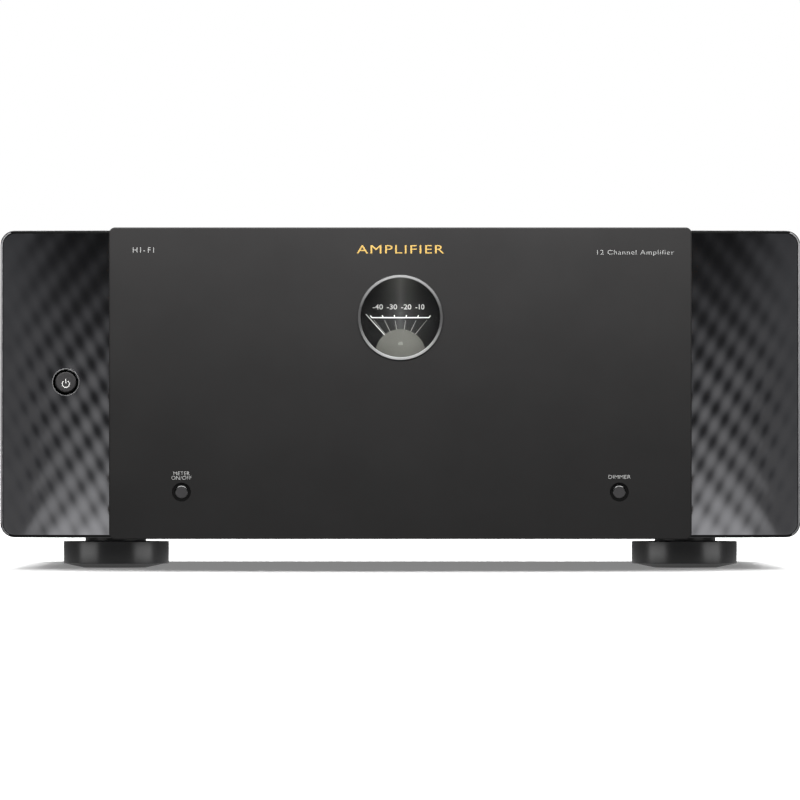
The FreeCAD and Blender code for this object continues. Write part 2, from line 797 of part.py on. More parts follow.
def make_control_board():
    """Circuit boards, pillars and switches behind the three buttons."""
    half = "key_board_width / 2"
    pieces = [box("key_board", (f"0 - {half}", KEY_BOARD_Y, "key_z - key_board_height / 2"),
                  (half, f"{KEY_BOARD_Y} + board_thickness", "key_z + key_board_height / 2"))]
    for i, x in enumerate(("0 - key_pillar_x", "0", "key_pillar_x")):
        pieces.append(rod(f"key_pillar_{i}", x, "key_z", f"{FRAME_FRONT} + frame_wall",
                          KEY_BOARD_Y, "pillar_radius"))
    for i, x in enumerate(("0 - key_x", "key_x")):
        pieces.append(make_switch(f"key_switch_{i}", x, "key_z", KEY_BOARD_Y))
    reach = "power_board_width / 2"
    pieces.append(box("power_board", (f"power_x - {reach}", POWER_BOARD_Y, f"power_z - {reach}"),
                      (f"power_x + {reach}", f"{POWER_BOARD_Y} + board_thickness",
                       f"power_z + {reach}")))
    pieces.append(make_switch("power_switch", "power_x", "power_z", POWER_BOARD_Y))
    for i, z in enumerate(("power_z - power_pillar_reach", "power_z + power_pillar_reach")):
        pieces.append(rod(f"power_pillar_{i}", "power_x", z, f"{POWER_BOARD_Y} + board_thickness",
                          WING_BACK, "pillar_radius"))
    return group("control_board", pieces)


# ---------------------------------------------------------------- chassis

def make_base_plate():
    """Bottom tray with an upright front wall that has two cable slots."""
    floor = box("tray_floor", ("0 - tray_half_width", WING_BACK, "tray_bottom"),
                ("tray_half_width", "tray_back", "tray_bottom + tray_sheet"))
    wall = box("tray_wall", ("0 - tray_half_width", WING_BACK, "tray_bottom"),
               ("tray_half_width", f"{WING_BACK} + tray_sheet", "tray_top"))
    tray = fuse("tray_sheet_metal", [floor, wall])
    slots = [box(f"cable_slot_{i}", (f"{x} - cable_slot_width / 2", WING_BACK, "cable_slot_z"),
                 (f"{x} + cable_slot_width / 2", f"{WING_BACK} + tray_sheet",
                  "cable_slot_z + cable_slot_height"))
             for i, x in enumerate(("0 - cable_slot_x", "cable_slot_x"))]
    holes = [post(f"foot_hole_{i}", x, y, "tray_bottom", "tray_bottom + tray_sheet",
                  "foot_screw_radius")
             for i, (x, y) in enumerate(foot_places())]
    return cut("base_plate", tray, slots + holes)


def make_top_cover():
    """Folded cover with rows of ventilation slots in its top."""
    body = doc.addObject("PartDesign::Body", "top_cover")
    section = sketch_on(body, "cover_section", "XZ_Plane", f"0 - {WING_BACK}")
    outside = "tray_half_width + cover_sheet"
    draw_outline(section, [(f"0 - ({outside})", "tray_bottom"),
                           ("0 - tray_half_width", "tray_bottom"),
                           ("0 - tray_half_width", "tray_top"),
                           ("tray_half_width", "tray_top"),
                           ("tray_half_width", "tray_bottom"),
                           (outside, "tray_bottom"),
                           (outside, "tray_top + cover_sheet"),
                           (f"0 - ({outside})", "tray_top + cover_sheet")])
    pad(body, "cover_fold", section, f"{REAR_FACE} + cover_overhang - {WING_BACK}")
    slots = sketch_on(body, "vent_column", "XY_Plane", "tray_top + cover_sheet")
    first = "(0 - vent_pitch * (vent_count - 1) / 2)"
    for row in range(int(size("vent_row_count"))):
        start = f"vent_first_y + {row} * vent_row_pitch"
        draw_rectangle(slots, f"{first} - vent_width / 2", f"{first} + vent_width / 2",
                       start, f"{start} + vent_length")
    opening = pocket(body, "vent_slots", slots, "cover_sheet")
    before = body.Shape.Volume
    pattern = body.newObject("PartDesign::LinearPattern", "vent_columns")
    pattern.Originals = [opening]
    pattern.Direction = (slots, ["H_Axis"])
    bind(pattern, "Length", "vent_pitch * (vent_count - 1)")
    bind(pattern, "Occurrences", "vent_count")
    body.Tip = pattern
    doc.recompute()
    if body.Shape.Volume >= before:
        raise RuntimeError("the cover's slots are not repeated")
    return body


def channel_x(number):
    """Formula for the middle of one channel's column of sockets."""
    return f"(channel_first_x + {number} * channel_pitch)"


def channels():
    """Numbers of the channels, from 0."""
    return range(int(size("channel_count")))


def make_rear_panel():
    """Back wall with a hole for every socket."""
    sheet_metal = box("rear_sheet_metal", ("0 - tray_half_width", "tray_back", "tray_bottom"),
                      ("tray_half_width", REAR_FACE, "tray_top"))
    holes = []
    for i in channels():
        for name, z, radius in (("xlr", "xlr_z", "xlr_body_radius"),
                                ("rca", "rca_z", "rca_body_radius"),
                                ("plus", "terminal_high_z", "terminal_post_radius"),
                                ("minus", "terminal_low_z", "terminal_post_radius")):
            holes.append(rod(f"{name}_hole_{i}", channel_x(i), z, "tray_back", REAR_FACE, radius))
    for i in range(int(size("jack_count"))):
        holes.append(rod(f"jack_hole_{i}", f"jack_first_x + {i} * jack_pitch", "jack_z",
                         "tray_back", REAR_FACE, "jack_body_radius"))
    holes.append(box("inlet_hole",
                     ("inlet_x - inlet_body_width / 2", "tray_back",
                      "inlet_z - inlet_body_height / 2"),
                     ("inlet_x + inlet_body_width / 2", REAR_FACE,
                      "inlet_z + inlet_body_height / 2")))
    return cut("rear_panel", sheet_metal, holes)


# ---------------------------------------------------------------- feet and screws

def foot_places():
    """Middles of the four feet, the front pair first, as pairs of formulas."""
    return [("0 - front_foot_x", "0 - foot_y"), ("front_foot_x", "0 - foot_y"),
            ("0 - rear_foot_x", "foot_y"), ("rear_foot_x", "foot_y")]


def foot_turning(name, radius, base_radius, pad_radius, neck):
    """Turned foot with a slightly narrower base and a recess for its pad."""
    body = doc.addObject("PartDesign::Body", name)
    section = sketch_on(body, f"{name}_section", "XZ_Plane")
    draw_outline(section, [("foot_screw_radius", "pad_thickness"),
                           (pad_radius, "pad_thickness"),
                           (pad_radius, "foot_base_height"),
                           (base_radius, "foot_base_height"),
                           (radius, "foot_taper_height")] + neck +
                          [("foot_screw_radius", NECK_TOP)])
    revolve(body, f"{name}_revolve", section, "Z_Axis")
    return body


def make_feet():
    """Wide feet with a neck at the front, and plain narrow ones at the back."""
    front = foot_turning("front_foot", "foot_radius", "foot_base_radius", "pad_radius",
                         [("foot_radius", "foot_height"), ("foot_neck_radius", "foot_height"),
                          ("foot_neck_radius", NECK_TOP)])
    rear = foot_turning("rear_foot", "rear_foot_radius", "rear_foot_base_radius",
                        "rear_pad_radius", [("rear_foot_radius", NECK_TOP)])
    return group("feet", [copy_of(f"foot_{i}", front if i < 2 else rear, x, y, "0")
                          for i, (x, y) in enumerate(foot_places())])


def pad_turning(name, radius, standing_radius):
    """Rubber ring that fills a foot's recess and narrows towards the floor."""
    body = doc.addObject("PartDesign::Body", name)
    section = sketch_on(body, f"{name}_section", "XZ_Plane")
    draw_outline(section, [("pad_bore", "0"), (standing_radius, "0"),
                           (radius, "foot_base_height"), (radius, "pad_thickness"),
                           ("pad_bore", "pad_thickness")])
    revolve(body, f"{name}_revolve", section, "Z_Axis")
    return body


def make_foot_pads():
    """Rubber rings let into the feet, which stand on the floor."""
    front = pad_turning("front_pad", "pad_radius", "pad_foot_radius")
    rear = pad_turning("rear_pad", "rear_pad_radius", "rear_pad_foot_radius")
    return group("foot_pads", [copy_of(f"pad_{i}", front if i < 2 else rear, x, y, "0")
                               for i, (x, y) in enumerate(foot_places())])


def make_chassis_screws():
    """Screws that hold the feet and the cover."""
    head = post("foot_screw_cap", "0", "0", "pad_thickness - foot_screw_head_height",
                "pad_thickness", "foot_screw_head")
    thread = post("foot_screw_thread", "0", "0", "pad_thickness",
                  "pad_thickness + foot_screw_length", "foot_screw_radius")
    foot_screw = fuse("foot_screw", [head, thread])
    screws = [copy_of(f"foot_screw_{i}", foot_screw, x, y, "0")
              for i, (x, y) in enumerate(foot_places())]
    for side, sign in (("left", "0 - "), ("right", "")):
        for i in range(int(size("cover_screw_count"))):
            screws.append(cover_screw(f"{side}_screw_{i}", sign,
                                      f"cover_screw_first_y + {i} * cover_screw_pitch"))
    return group("chassis_screws", screws)


def cover_screw(name, sign, y):
    """Low-headed screw in a side of the cover; its head stands outside."""
    outside = "tray_half_width + cover_sheet"
    direction = -1 if sign else 1
    head = doc.addObject("Part::Cylinder", name)
    head.Placement.Rotation = Rotation(Vector(0, 1, 0), 90 * direction)
    bind(head, "Radius", "cover_screw_head")
    bind(head, "Height", "cover_screw_head_height")
    return place(head, f"{sign}({outside})", y, "cover_screw_z")


# ---------------------------------------------------------------- rear sockets

def make_xlr_shells():
    """Round-mouthed microphone-type sockets, one on each channel."""
    body = doc.addObject("PartDesign::Body", "xlr_shell")
    outline = sketch_on(body, "xlr_flange_outline", "XZ_Plane", "0 - xlr_flange_thickness")
    draw_rectangle(outline, "0 - xlr_flange_width / 2", "xlr_flange_width / 2",
                   "0 - xlr_flange_height / 2", "xlr_flange_height / 2")
    pad(body, "xlr_flange", outline, "xlr_flange_thickness", towards_rear=False)
    round_edges(body, "xlr_flange_corners", "xlr_flange_corner",
                lambda edge, middle: runs_along(edge, Vector(0, 1, 0)))
    barrel = sketch_on(body, "xlr_barrel_outline", "XZ_Plane")
    draw_circle(barrel, "0", "0", "xlr_body_radius")
    pad(body, "xlr_barrel", barrel, f"{REAR_FACE} - {BOARD_BACK}", towards_rear=False)
    mouth = sketch_on(body, "xlr_mouth_outline", "XZ_Plane", "0 - xlr_flange_thickness")
    draw_circle(mouth, "0", "0", "xlr_bore_radius")
    pocket(body, "xlr_mouth", mouth, "xlr_bore_depth", reverse=True)
    return group("xlr_shells", [copy_of(f"xlr_shell_{i}", body, channel_x(i), REAR_FACE, "xlr_z")
                                for i in channels()])


def make_xlr_inserts():
    """Insulating cores with three contact holes."""
    back = "(xlr_flange_thickness - xlr_bore_depth)"
    front = f"({back} + xlr_insert_length)"
    core = rod("xlr_core", "0", "0", back, front, "xlr_insert_radius")
    holes = []
    for i, (x, z) in enumerate((("0 - xlr_pin_circle", "xlr_pin_circle / 2"),
                                ("xlr_pin_circle", "xlr_pin_circle / 2"),
                                ("0", "0 - xlr_pin_circle"))):
        holes.append(rod(f"xlr_contact_{i}", x, z, f"{front} - xlr_pin_depth", front,
                         "xlr_pin_radius"))
    insert = cut("xlr_insert", core, holes)
    return group("xlr_inserts",
                 [copy_of(f"xlr_insert_{i}", insert, channel_x(i), REAR_FACE, "xlr_z")
                  for i in channels()])


def make_rca_jacks():
    """Phono sockets with a round barrel and a centre hole."""
    body_rod = rod("rca_body", "0", "0", f"0 - ({REAR_FACE} - {BOARD_BACK})", "0",
                   "rca_body_radius")
    flange = rod("rca_flange", "0", "0", "0", "rca_flange_thickness", "rca_flange_radius")
    tip = "(rca_flange_thickness + rca_barrel_length)"
    barrel = rod("rca_barrel", "0", "0", "rca_flange_thickness", tip, "rca_barrel_radius")
    solid = fuse("rca_solid", [body_rod, flange, barrel])
    hole = rod("rca_centre_hole", "0", "0", f"{tip} - rca_hole_depth", tip, "rca_hole_radius")
    jack = cut("rca_jack", solid, [hole])
    return group("rca_jacks", [copy_of(f"rca_jack_{i}", jack, channel_x(i), REAR_FACE, "rca_z")
                               for i in channels()])


def make_terminal_bases():
    """Insulating plates with two collars each, one plate on each channel."""
    middle = "(terminal_high_z + terminal_low_z) / 2"
    half_x = "terminal_plate_width / 2"
    half_z = "terminal_plate_height / 2"
    plate = box("terminal_plate", (f"0 - {half_x}", "0", f"{middle} - {half_z}"),
                (half_x, "terminal_plate_thickness", f"{middle} + {half_z}"))
    solids = [plate]
    holes = []
    for name, z in (("high", "terminal_high_z"), ("low", "terminal_low_z")):
        face = "terminal_plate_thickness + terminal_collar_length"
        solids.append(rod(f"{name}_collar", "0", z, "terminal_plate_thickness", face,
                          "terminal_collar_radius"))
        holes.append(rod(f"{name}_collar_hole", "0", z, "0", face, "terminal_post_radius"))
    base = cut("terminal_base", fuse("terminal_base_solid", solids), holes)
    return group("terminal_bases",
                 [copy_of(f"terminal_base_{i}", base, channel_x(i), REAR_FACE, "0")
                  for i in channels()])


def make_terminal_posts():
    """Threaded posts on which the terminal nuts run."""
    posts = []
    for i in channels():
        for name, z in (("plus", "terminal_high_z"), ("minus", "terminal_low_z")):
            posts.append(rod(f"{name}_post_{i}", channel_x(i), z, "terminal_post_start",
                             "terminal_post_start + terminal_post_length",
                             "terminal_post_radius"))
    return group("terminal_posts", posts)


def make_terminal_nut(name, x, z):
    """Fluted, closed-ended thumb nut."""
    body = doc.addObject("PartDesign::Body", name)
    outline = sketch_on(body, f"{name}_outline", "XZ_Plane")
    draw_circle(outline, "0", "0", "nut_radius")
    pad(body, f"{name}_pad", outline, NUT_LENGTH)
    outer_end = body.Shape.BoundBox.YMax
    round_edges(body, f"{name}_edge", "nut_edge",
                lambda edge, middle: abs(middle.y - outer_end) < 1e-3, kind="Chamfer")
    hole = sketch_on(body, f"{name}_bore_outline", "XZ_Plane")
    draw_circle(hole, "0", "0", "terminal_post_radius + nut_clearance")
    pocket(body, f"{name}_bore", hole, f"{NUT_LENGTH} - nut_wall")
    flute = sketch_on(body, f"{name}_flute_outline", "XZ_Plane")
    draw_circle(flute, "nut_flute_offset", "0", "nut_flute_radius")
    groove = pocket(body, f"{name}_flute", flute, NUT_LENGTH)
    before = body.Shape.Volume
    pattern = body.newObject("PartDesign::PolarPattern", f"{name}_flutes")
    pattern.Originals = [groove]
    pattern.Axis = (flute, ["N_Axis"])
    pattern.Angle = 360
    bind(pattern, "Occurrences", "nut_flute_count")
    body.Tip = pattern
    doc.recompute()
    if body.Shape.Volume >= before:
        raise RuntimeError(f"{name} has no flutes")
    return place(body, x, NUT_FACE, z)


def make_terminal_nuts():
    """A plus nut and a minus nut on every channel."""
    nuts = []
    for i in channels():
        nuts.append(make_terminal_nut(f"plus_nut_{i + 1:02d}", channel_x(i), "terminal_high_z"))
        nuts.append(make_terminal_nut(f"minus_nut_{i + 1:02d}", channel_x(i), "terminal_low_z"))
    return nuts


def make_control_jacks():
    """Small round sockets for remote control leads."""
    tip = "jack_flange_thickness"
    barrel = rod("jack_body", "0", "0", f"0 - ({REAR_FACE} - {BOARD_BACK})", "0",
                 "jack_body_radius")
    flange = rod("jack_flange", "0", "0", "0", tip, "jack_flange_radius")
    bore = rod("jack_bore", "0", "0", f"{tip} - jack_bore_depth", tip, "jack_bore_radius")
    jack = cut("control_jack", fuse("jack_solid", [barrel, flange]), [bore])
    return group("control_jacks",
                 [copy_of(f"control_jack_{i}", jack, f"jack_first_x + {i} * jack_pitch",
                          REAR_FACE, "jack_z")
                  for i in range(int(size("jack_count")))])


def make_ac_inlet():
    """Mains inlet: a flanged box with an open cavity and three flat pins."""
    body = doc.addObject("PartDesign::Body", "inlet_case")
    flange = sketch_on(body, "inlet_flange_outline", "XZ_Plane", "0 - inlet_flange_thickness")
    draw_rectangle(flange, "0 - inlet_flange_width / 2", "inlet_flange_width / 2",
                   "0 - inlet_flange_height / 2", "inlet_flange_height / 2")
    pad(body, "inlet_flange", flange, "inlet_flange_thickness", towards_rear=False)
    round_edges(body, "inlet_flange_corners", "inlet_corner",
                lambda edge, middle: runs_along(edge, Vector(0, 1, 0)))
    sleeve = sketch_on(body, "inlet_sleeve_outline", "XZ_Plane")
    draw_rectangle(sleeve, "0 - inlet_body_width / 2", "inlet_body_width / 2",
                   "0 - inlet_body_height / 2", "inlet_body_height / 2")
    pad(body, "inlet_sleeve", sleeve, "inlet_body_depth", towards_rear=False)
    cavity = sketch_on(body, "inlet_cavity_outline", "XZ_Plane", "0 - inlet_flange_thickness")
    draw_rectangle(cavity, "0 - inlet_cavity_width / 2", "inlet_cavity_width / 2",
                   "0 - inlet_cavity_height / 2", "inlet_cavity_height / 2")
    pocket(body, "inlet_cavity", cavity, "inlet_cavity_depth", reverse=True)
    pieces = [copy_of("inlet_case_in_place", body, "inlet_x", REAR_FACE, "inlet_z")]
    back = f"({REAR_FACE} + inlet_flange_thickness - inlet_cavity_depth)"
    for name, x, z in (("left", "inlet_x - inlet_pin_x", "inlet_z - inlet_pin_drop"),
                       ("right", "inlet_x + inlet_pin_x", "inlet_z - inlet_pin_drop"),
                       ("earth", "inlet_x", "inlet_z + inlet_earth_rise")):
        pieces.append(box(f"{name}_inlet_pin",
                          (f"{x} - inlet_pin_width / 2", back, f"{z} - inlet_pin_height / 2"),
                          (f"{x} + inlet_pin_width / 2", f"{back} + inlet_pin_length",
                           f"{z} + inlet_pin_height / 2")))
    return fuse("ac_inlet", pieces)


# ---------------------------------------------------------------- inside

def make_input_board():
    """Upright board that carries the input sockets."""
    return box("input_board", ("input_board_x", "board_y", "input_board_low"),
               ("input_board_x + input_board_width", BOARD_BACK, "input_board_high"))


def deck_posts(name, places):
    """Short pillars between the tray and a board."""
    return [post(f"{name}_{i}", x, y, "tray_bottom + tray_sheet", "deck_z", "pillar_radius")
            for i, (x, y) in enumerate(places)]


def make_psu_board():
    """Power supply board on four pillars."""
    board = box("psu_sheet", ("0 - psu_width / 2", "psu_front", "deck_z"),
                ("psu_width / 2", "psu_front + psu_depth", DECK_TOP))
    places = [(x, y) for x in ("0 - psu_post_x", "psu_post_x")
              for y in ("psu_front + psu_post_inset", "psu_front + psu_depth - psu_post_inset")]
    return group("psu_board", [board] + deck_posts("psu_post", places))


def make_psu_parts():
    """Transformers and reservoir capacitors of the power supply."""
    pieces = []
    for i in range(int(size("transformer_count"))):
        x = f"(({i} - (transformer_count - 1) / 2) * transformer_pitch)"
        pieces.append(box(f"transformer_{i}",
                          (f"{x} - transformer_width / 2", "psu_front + transformer_inset",
                           DECK_TOP),
                          (f"{x} + transformer_width / 2",
                           "psu_front + transformer_inset + transformer_depth",
                           f"{DECK_TOP} + transformer_height")))
    for i in range(int(size("capacitor_count"))):
        x = f"(({i} - (capacitor_count - 1) / 2) * capacitor_pitch)"
        pieces.append(post(f"capacitor_{i}", x, "psu_front + psu_depth - capacitor_inset",
                           DECK_TOP, f"{DECK_TOP} + capacitor_height", "capacitor_radius"))
    return group("psu_parts", pieces)


def module_x(number):
    """Formula for the middle of one two-channel module."""
    return f"({MODULE_FIRST_X} + {number} * module_pitch)"


def make_amp_boards():
    """Two-channel amplifier boards with pillars, output devices and chokes."""
    pieces = []
    for i in range(int(size("module_count"))):
        x = module_x(i)
        pieces.append(box(f"amp_sheet_{i}", (f"{x} - module_width / 2", "module_front", "deck_z"),
                          (f"{x} + module_width / 2", "module_front + module_depth", DECK_TOP)))
        places = [(x, "module_front + module_post_inset"),
                  (x, "module_front + module_depth - module_post_inset")]
        pieces += deck_posts(f"amp_post_{i}", places)
        pieces.append(box(f"amp_devices_{i}",
                          (f"{x} - device_width / 2", "module_front + sink_inset", DECK_TOP),
                          (f"{x} + device_width / 2", "module_front + sink_inset + sink_depth",
                           f"{DECK_TOP} + device_height")))
        for side, offset in enumerate((f"{x} - choke_x", f"{x} + choke_x")):
            y = "(module_front + module_depth - choke_inset)"
            ring = post(f"choke_ring_{i}_{side}", offset, y, DECK_TOP,
                        f"{DECK_TOP} + choke_height", "choke_radius")
            hole = post(f"choke_hole_{i}_{side}", offset, y, DECK_TOP,
                        f"{DECK_TOP} + choke_height", "choke_bore")
            pieces.append(cut(f"choke_{i}_{side}", ring, [hole]))
    return group("amp_boards", pieces)


def make_heatsinks():
    """Finned coolers that lie on the output devices."""
    body = doc.addObject("PartDesign::Body", "heatsink")
    comb = sketch_on(body, "sink_section", "XZ_Plane", "0 - module_front - sink_inset")
    fins = int(size("sink_fin_count"))
    width = "(module_width - 2 * sink_inset)"
    pitch = f"(({width} - sink_fin) / (sink_fin_count - 1))"
    points = [(f"0 - {width} / 2", "0"), (f"{width} / 2", "0")]
    for fin in reversed(range(fins)):
        left = f"(0 - {width} / 2 + {fin} * {pitch})"
        points.append((f"{left} + sink_fin", "sink_base + sink_fin_height"))
        points.append((left, "sink_base + sink_fin_height"))
        if fin:
            points.append((left, "sink_base"))
            points.append((f"{left} - {pitch} + sink_fin", "sink_base"))
    draw_outline(comb, points)
    pad(body, "sink_extrusion", comb, "sink_depth")
    return group("heatsinks",
                 [copy_of(f"heatsink_{i}", body, module_x(i), "0", f"{DECK_TOP} + device_height")
                  for i in range(int(size("module_count")))])


# ---------------------------------------------------------------- build, check and write

wing_shell = make_wing_shell()
nodes = [
    make_front_panel(),
    make_panel_standoffs(),
    make_light_guides(),
    make_left_wing(wing_shell),
    make_right_wing(wing_shell),
    make_front_frame(),
    make_meter_bezel(),
    make_meter_lens(),
    make_meter_housing(),
    make_meter_movement(),
    make_meter_dial(),
    make_meter_mask(),
    make_meter_needle(),
    make_key("meter_button", "0 - key_x"),
    make_key("dimmer_button", "key_x"),
    make_power_ring(),
    make_power_button(),
    make_control_board(),
    make_base_plate(),
    make_top_cover(),
    make_rear_panel(),
    make_feet(),
    make_foot_pads(),
    make_chassis_screws(),
    make_xlr_shells(),
    make_xlr_inserts(),
    make_rca_jacks(),
    make_terminal_bases(),
    make_terminal_posts(),
    make_control_jacks(),
    make_ac_inlet(),
    make_input_board(),
    make_psu_board(),
    make_psu_parts(),
    make_amp_boards(),
    make_heatsinks(),
] + make_terminal_nuts()
doc.recompute()

for item in doc.Objects:
    if "Invalid" in item.State or "Error" in item.State:
        raise RuntimeError(f"{item.Label} failed: {item.State}")
for node in nodes:
    if node.Shape.isNull() or not node.Shape.isValid():
        raise RuntimeError(f"{node.Label} has no valid shape")

os.makedirs("parts", exist_ok=True)
for node in nodes:
    node.Shape.exportStep(f"parts/{node.Label}.step")
print(f"{len(nodes)} sub-parts written")
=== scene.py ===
import json
import math

import bmesh
import bpy
from mathutils import Matrix, Vector


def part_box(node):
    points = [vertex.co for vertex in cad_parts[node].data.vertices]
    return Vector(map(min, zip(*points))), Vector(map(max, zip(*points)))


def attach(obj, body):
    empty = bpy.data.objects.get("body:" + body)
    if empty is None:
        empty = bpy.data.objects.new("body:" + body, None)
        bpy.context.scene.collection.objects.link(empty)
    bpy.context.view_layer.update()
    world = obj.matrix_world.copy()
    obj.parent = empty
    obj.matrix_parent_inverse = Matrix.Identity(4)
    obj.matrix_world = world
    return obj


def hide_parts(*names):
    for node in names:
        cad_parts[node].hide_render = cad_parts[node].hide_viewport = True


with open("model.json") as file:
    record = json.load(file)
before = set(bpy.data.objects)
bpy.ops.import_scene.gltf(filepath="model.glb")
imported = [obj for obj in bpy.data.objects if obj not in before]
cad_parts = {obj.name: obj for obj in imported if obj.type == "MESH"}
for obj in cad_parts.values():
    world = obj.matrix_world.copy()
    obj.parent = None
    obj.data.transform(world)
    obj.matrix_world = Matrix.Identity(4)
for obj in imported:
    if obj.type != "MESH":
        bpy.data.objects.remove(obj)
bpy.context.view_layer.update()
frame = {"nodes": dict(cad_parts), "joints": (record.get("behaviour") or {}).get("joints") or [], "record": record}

# A twelve-channel power amplifier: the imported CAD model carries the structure, and this script
# adds the moulded wings, turned parts, printing, sockets' details and every material.

MM = 0.001
NODES = frame["nodes"]
MOUNTS = frame["record"]["mounts"]

wing_low, wing_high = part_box("right_wing")
PANEL_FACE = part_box("front_panel")[0].y
REAR_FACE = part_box("rear_panel")[1].y

TINY = 1e-9  # less than this counts as nothing
WELD_DISTANCE = 1e-7
SHARP_ANGLE = math.radians(35)
STRAIGHT = 1e-3  # radians; a smaller turn isn't a corner
CORNER_SHARE = 0.45  # most of a side's length that one corner's arc may take
ARC_STEPS = 5
CAPITAL_SHARE = 0.69  # a capital's height as a share of the font's size
LINE_SPACE = 0.85  # between lines of printing, as a share of the font's own
PRINT_THICKNESS = 0.04 * MM
CURVE_STEPS = 6


# ------ mesh helpers

def add_object(name, data):
    """New object in the scene."""
    thing = bpy.data.objects.new(name, data)
    bpy.context.scene.collection.objects.link(thing)
    return thing


def add_piece(name, verts, faces, body, material, smooth=True):
    """Mesh object from vertices and faces in metres, riding on a CAD body."""
    mesh = bpy.data.meshes.new(name)
    mesh.from_pydata([tuple(v) for v in verts], [], faces)
    return finish_mesh(name, mesh, body, material, smooth)


def finish_mesh(name, mesh, body, material, smooth):
    """Consistent normals, shading, material, body and slot for a new mesh."""
    work = bmesh.new()
    work.from_mesh(mesh)
    bmesh.ops.remove_doubles(work, verts=work.verts, dist=WELD_DISTANCE)
    bmesh.ops.recalc_face_normals(work, faces=work.faces)
    work.to_mesh(mesh)
    work.free()
    if smooth:
        mesh.shade_smooth()
        mesh.set_sharp_from_angle(angle=SHARP_ANGLE)
    thing = add_object(name, mesh)
    mesh.materials.append(material)
    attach(thing, body)
    return thing


def rounded(points, radius):
    """Open outline of 2-D points with each inner corner replaced by an arc."""
    result = [points[0]]
    for before, corner, after in zip(points, points[1:], points[2:]):
        middle = Vector(corner)
        a = Vector(before) - middle
        b = Vector(after) - middle
        if min(a.length, b.length) < TINY or abs(a.angle(b) - math.pi) < STRAIGHT:
            result.append(corner)
            continue
        half = a.angle(b) / 2
        reach = min(radius / math.tan(half), a.length * CORNER_SHARE, b.length * CORNER_SHARE)
        start = middle + a.normalized() * reach
        end = middle + b.normalized() * reach
        for i in range(ARC_STEPS + 1):
            t = i / ARC_STEPS
            point = start * (1 - t) ** 2 + middle * 2 * t * (1 - t) + end * t ** 2
            result.append((point.x, point.y))
    result.append(points[-1])
    return result


def lathe_parts(profile, centre, axis, segments):
    """Vertices and faces of a profile of (radius, along) turned about Y or Z."""
    verts = []
    faces = []
    rings = []
    for radius, along in profile:
        if radius < TINY:
            rings.append([len(verts)])
            verts.append(centre + along_axis(axis, 0, 0, along))
            continue
        ring = []
        for i in range(segments):
            turn = 2 * math.pi * i / segments
            ring.append(len(verts))
            verts.append(centre + along_axis(axis, radius * math.cos(turn),
                                             radius * math.sin(turn), along))
        rings.append(ring)
    for one, two in zip(rings, rings[1:]):
        if len(one) == 1 and len(two) == 1:
            continue
        for i in range(segments):
            j = (i + 1) % segments
            if len(one) == 1:
                faces.append((one[0], two[i], two[j]))
            elif len(two) == 1:
                faces.append((one[i], one[j], two[0]))
            else:
                faces.append((one[i], one[j], two[j], two[i]))
    return verts, faces


def along_axis(axis, across, up, along):
    """Point from its distances across, up and along an axis."""
    return Vector((across, along, up)) if axis == "Y" else Vector((across, up, along))


def joined(parts):
    """Vertices and faces of several parts as one."""
    verts = []
    faces = []
    for more_verts, more_faces in parts:
        faces += [tuple(i + len(verts) for i in face) for face in more_faces]
        verts += more_verts
    return verts, faces


def lathe(name, profile, centre, axis, body, material, segments=96):
    """Turned piece."""
    return lathe_group(name, profile, [centre], axis, body, material, segments)


def lathe_group(name, profile, centres, axis, body, material, segments=48):
    """Several equal turned pieces in one mesh."""
    verts, faces = joined(lathe_parts(profile, centre, axis, segments) for centre in centres)
    return add_piece(name, verts, faces, body, material)


def block_parts(low, high):
    """Vertices and faces of a box."""
    work = bmesh.new()
    bmesh.ops.create_cube(work, size=1)
    middle = (low + high) / 2
    size = high - low
    bmesh.ops.transform(work, matrix=Matrix.Translation(middle) @ Matrix.Diagonal((*size, 1)),
                        verts=work.verts)
    verts = [v.co.copy() for v in work.verts]
    faces = [tuple(v.index for v in f.verts) for f in work.faces]
    work.free()
    return verts, faces


def lettering(name, words, height, place, facing, material, spread=1.0,
              width=None, weight=0.0):
    """Flat raised printing, centred on a place of the front or the rear."""
    curve = bpy.data.curves.new(name, "FONT")
    curve.body = words
    curve.size = height / CAPITAL_SHARE
    curve.align_x = "CENTER"
    curve.align_y = "CENTER"
    curve.space_character = spread
    curve.space_line = LINE_SPACE
    curve.extrude = PRINT_THICKNESS
    curve.offset = weight
    curve.resolution_u = CURVE_STEPS
    holder = add_object(name + "_curve", curve)
    bpy.context.view_layer.update()
    mesh = bpy.data.meshes.new_from_object(holder)
    mesh.name = name
    bpy.data.objects.remove(holder)
    bpy.data.curves.remove(curve)
    mesh.materials.clear()
    turn = math.pi if facing == "rear" else 0.0
    stretch = 1.0
    if width is not None:
        across = [v.co.x for v in mesh.vertices]
        stretch = width / (max(across) - min(across))
    stand = Matrix.Rotation(turn, 4, "Z") @ Matrix.Rotation(math.pi / 2, 4, "X")
    mesh.transform(Matrix.Translation(place) @ stand @ Matrix.Diagonal((stretch, 1, 1, 1)))
    return finish_mesh(name, mesh, "chassis", material, smooth=False)


# ------ materials

def new_material(name):
    """Empty node material and its Principled shader."""
    material = bpy.data.materials.new(name)
    material.use_nodes = True
    shader = material.node_tree.nodes["Principled BSDF"]
    return material, material.node_tree, shader


def set_values(node, values):
    """Values of a node's inputs by name."""
    for name, value in values.items():
        node.inputs[name].default_value = value


def mix_colours(tree, factor, low, high):
    """Colour between two, driven by a socket."""
    mix = tree.nodes.new("ShaderNodeMix")
    mix.data_type = "RGBA"
    set_values(mix, {"A": (*low, 1), "B": (*high, 1)})
    tree.links.new(factor, mix.inputs["Factor"])
    return mix.outputs["Result"]


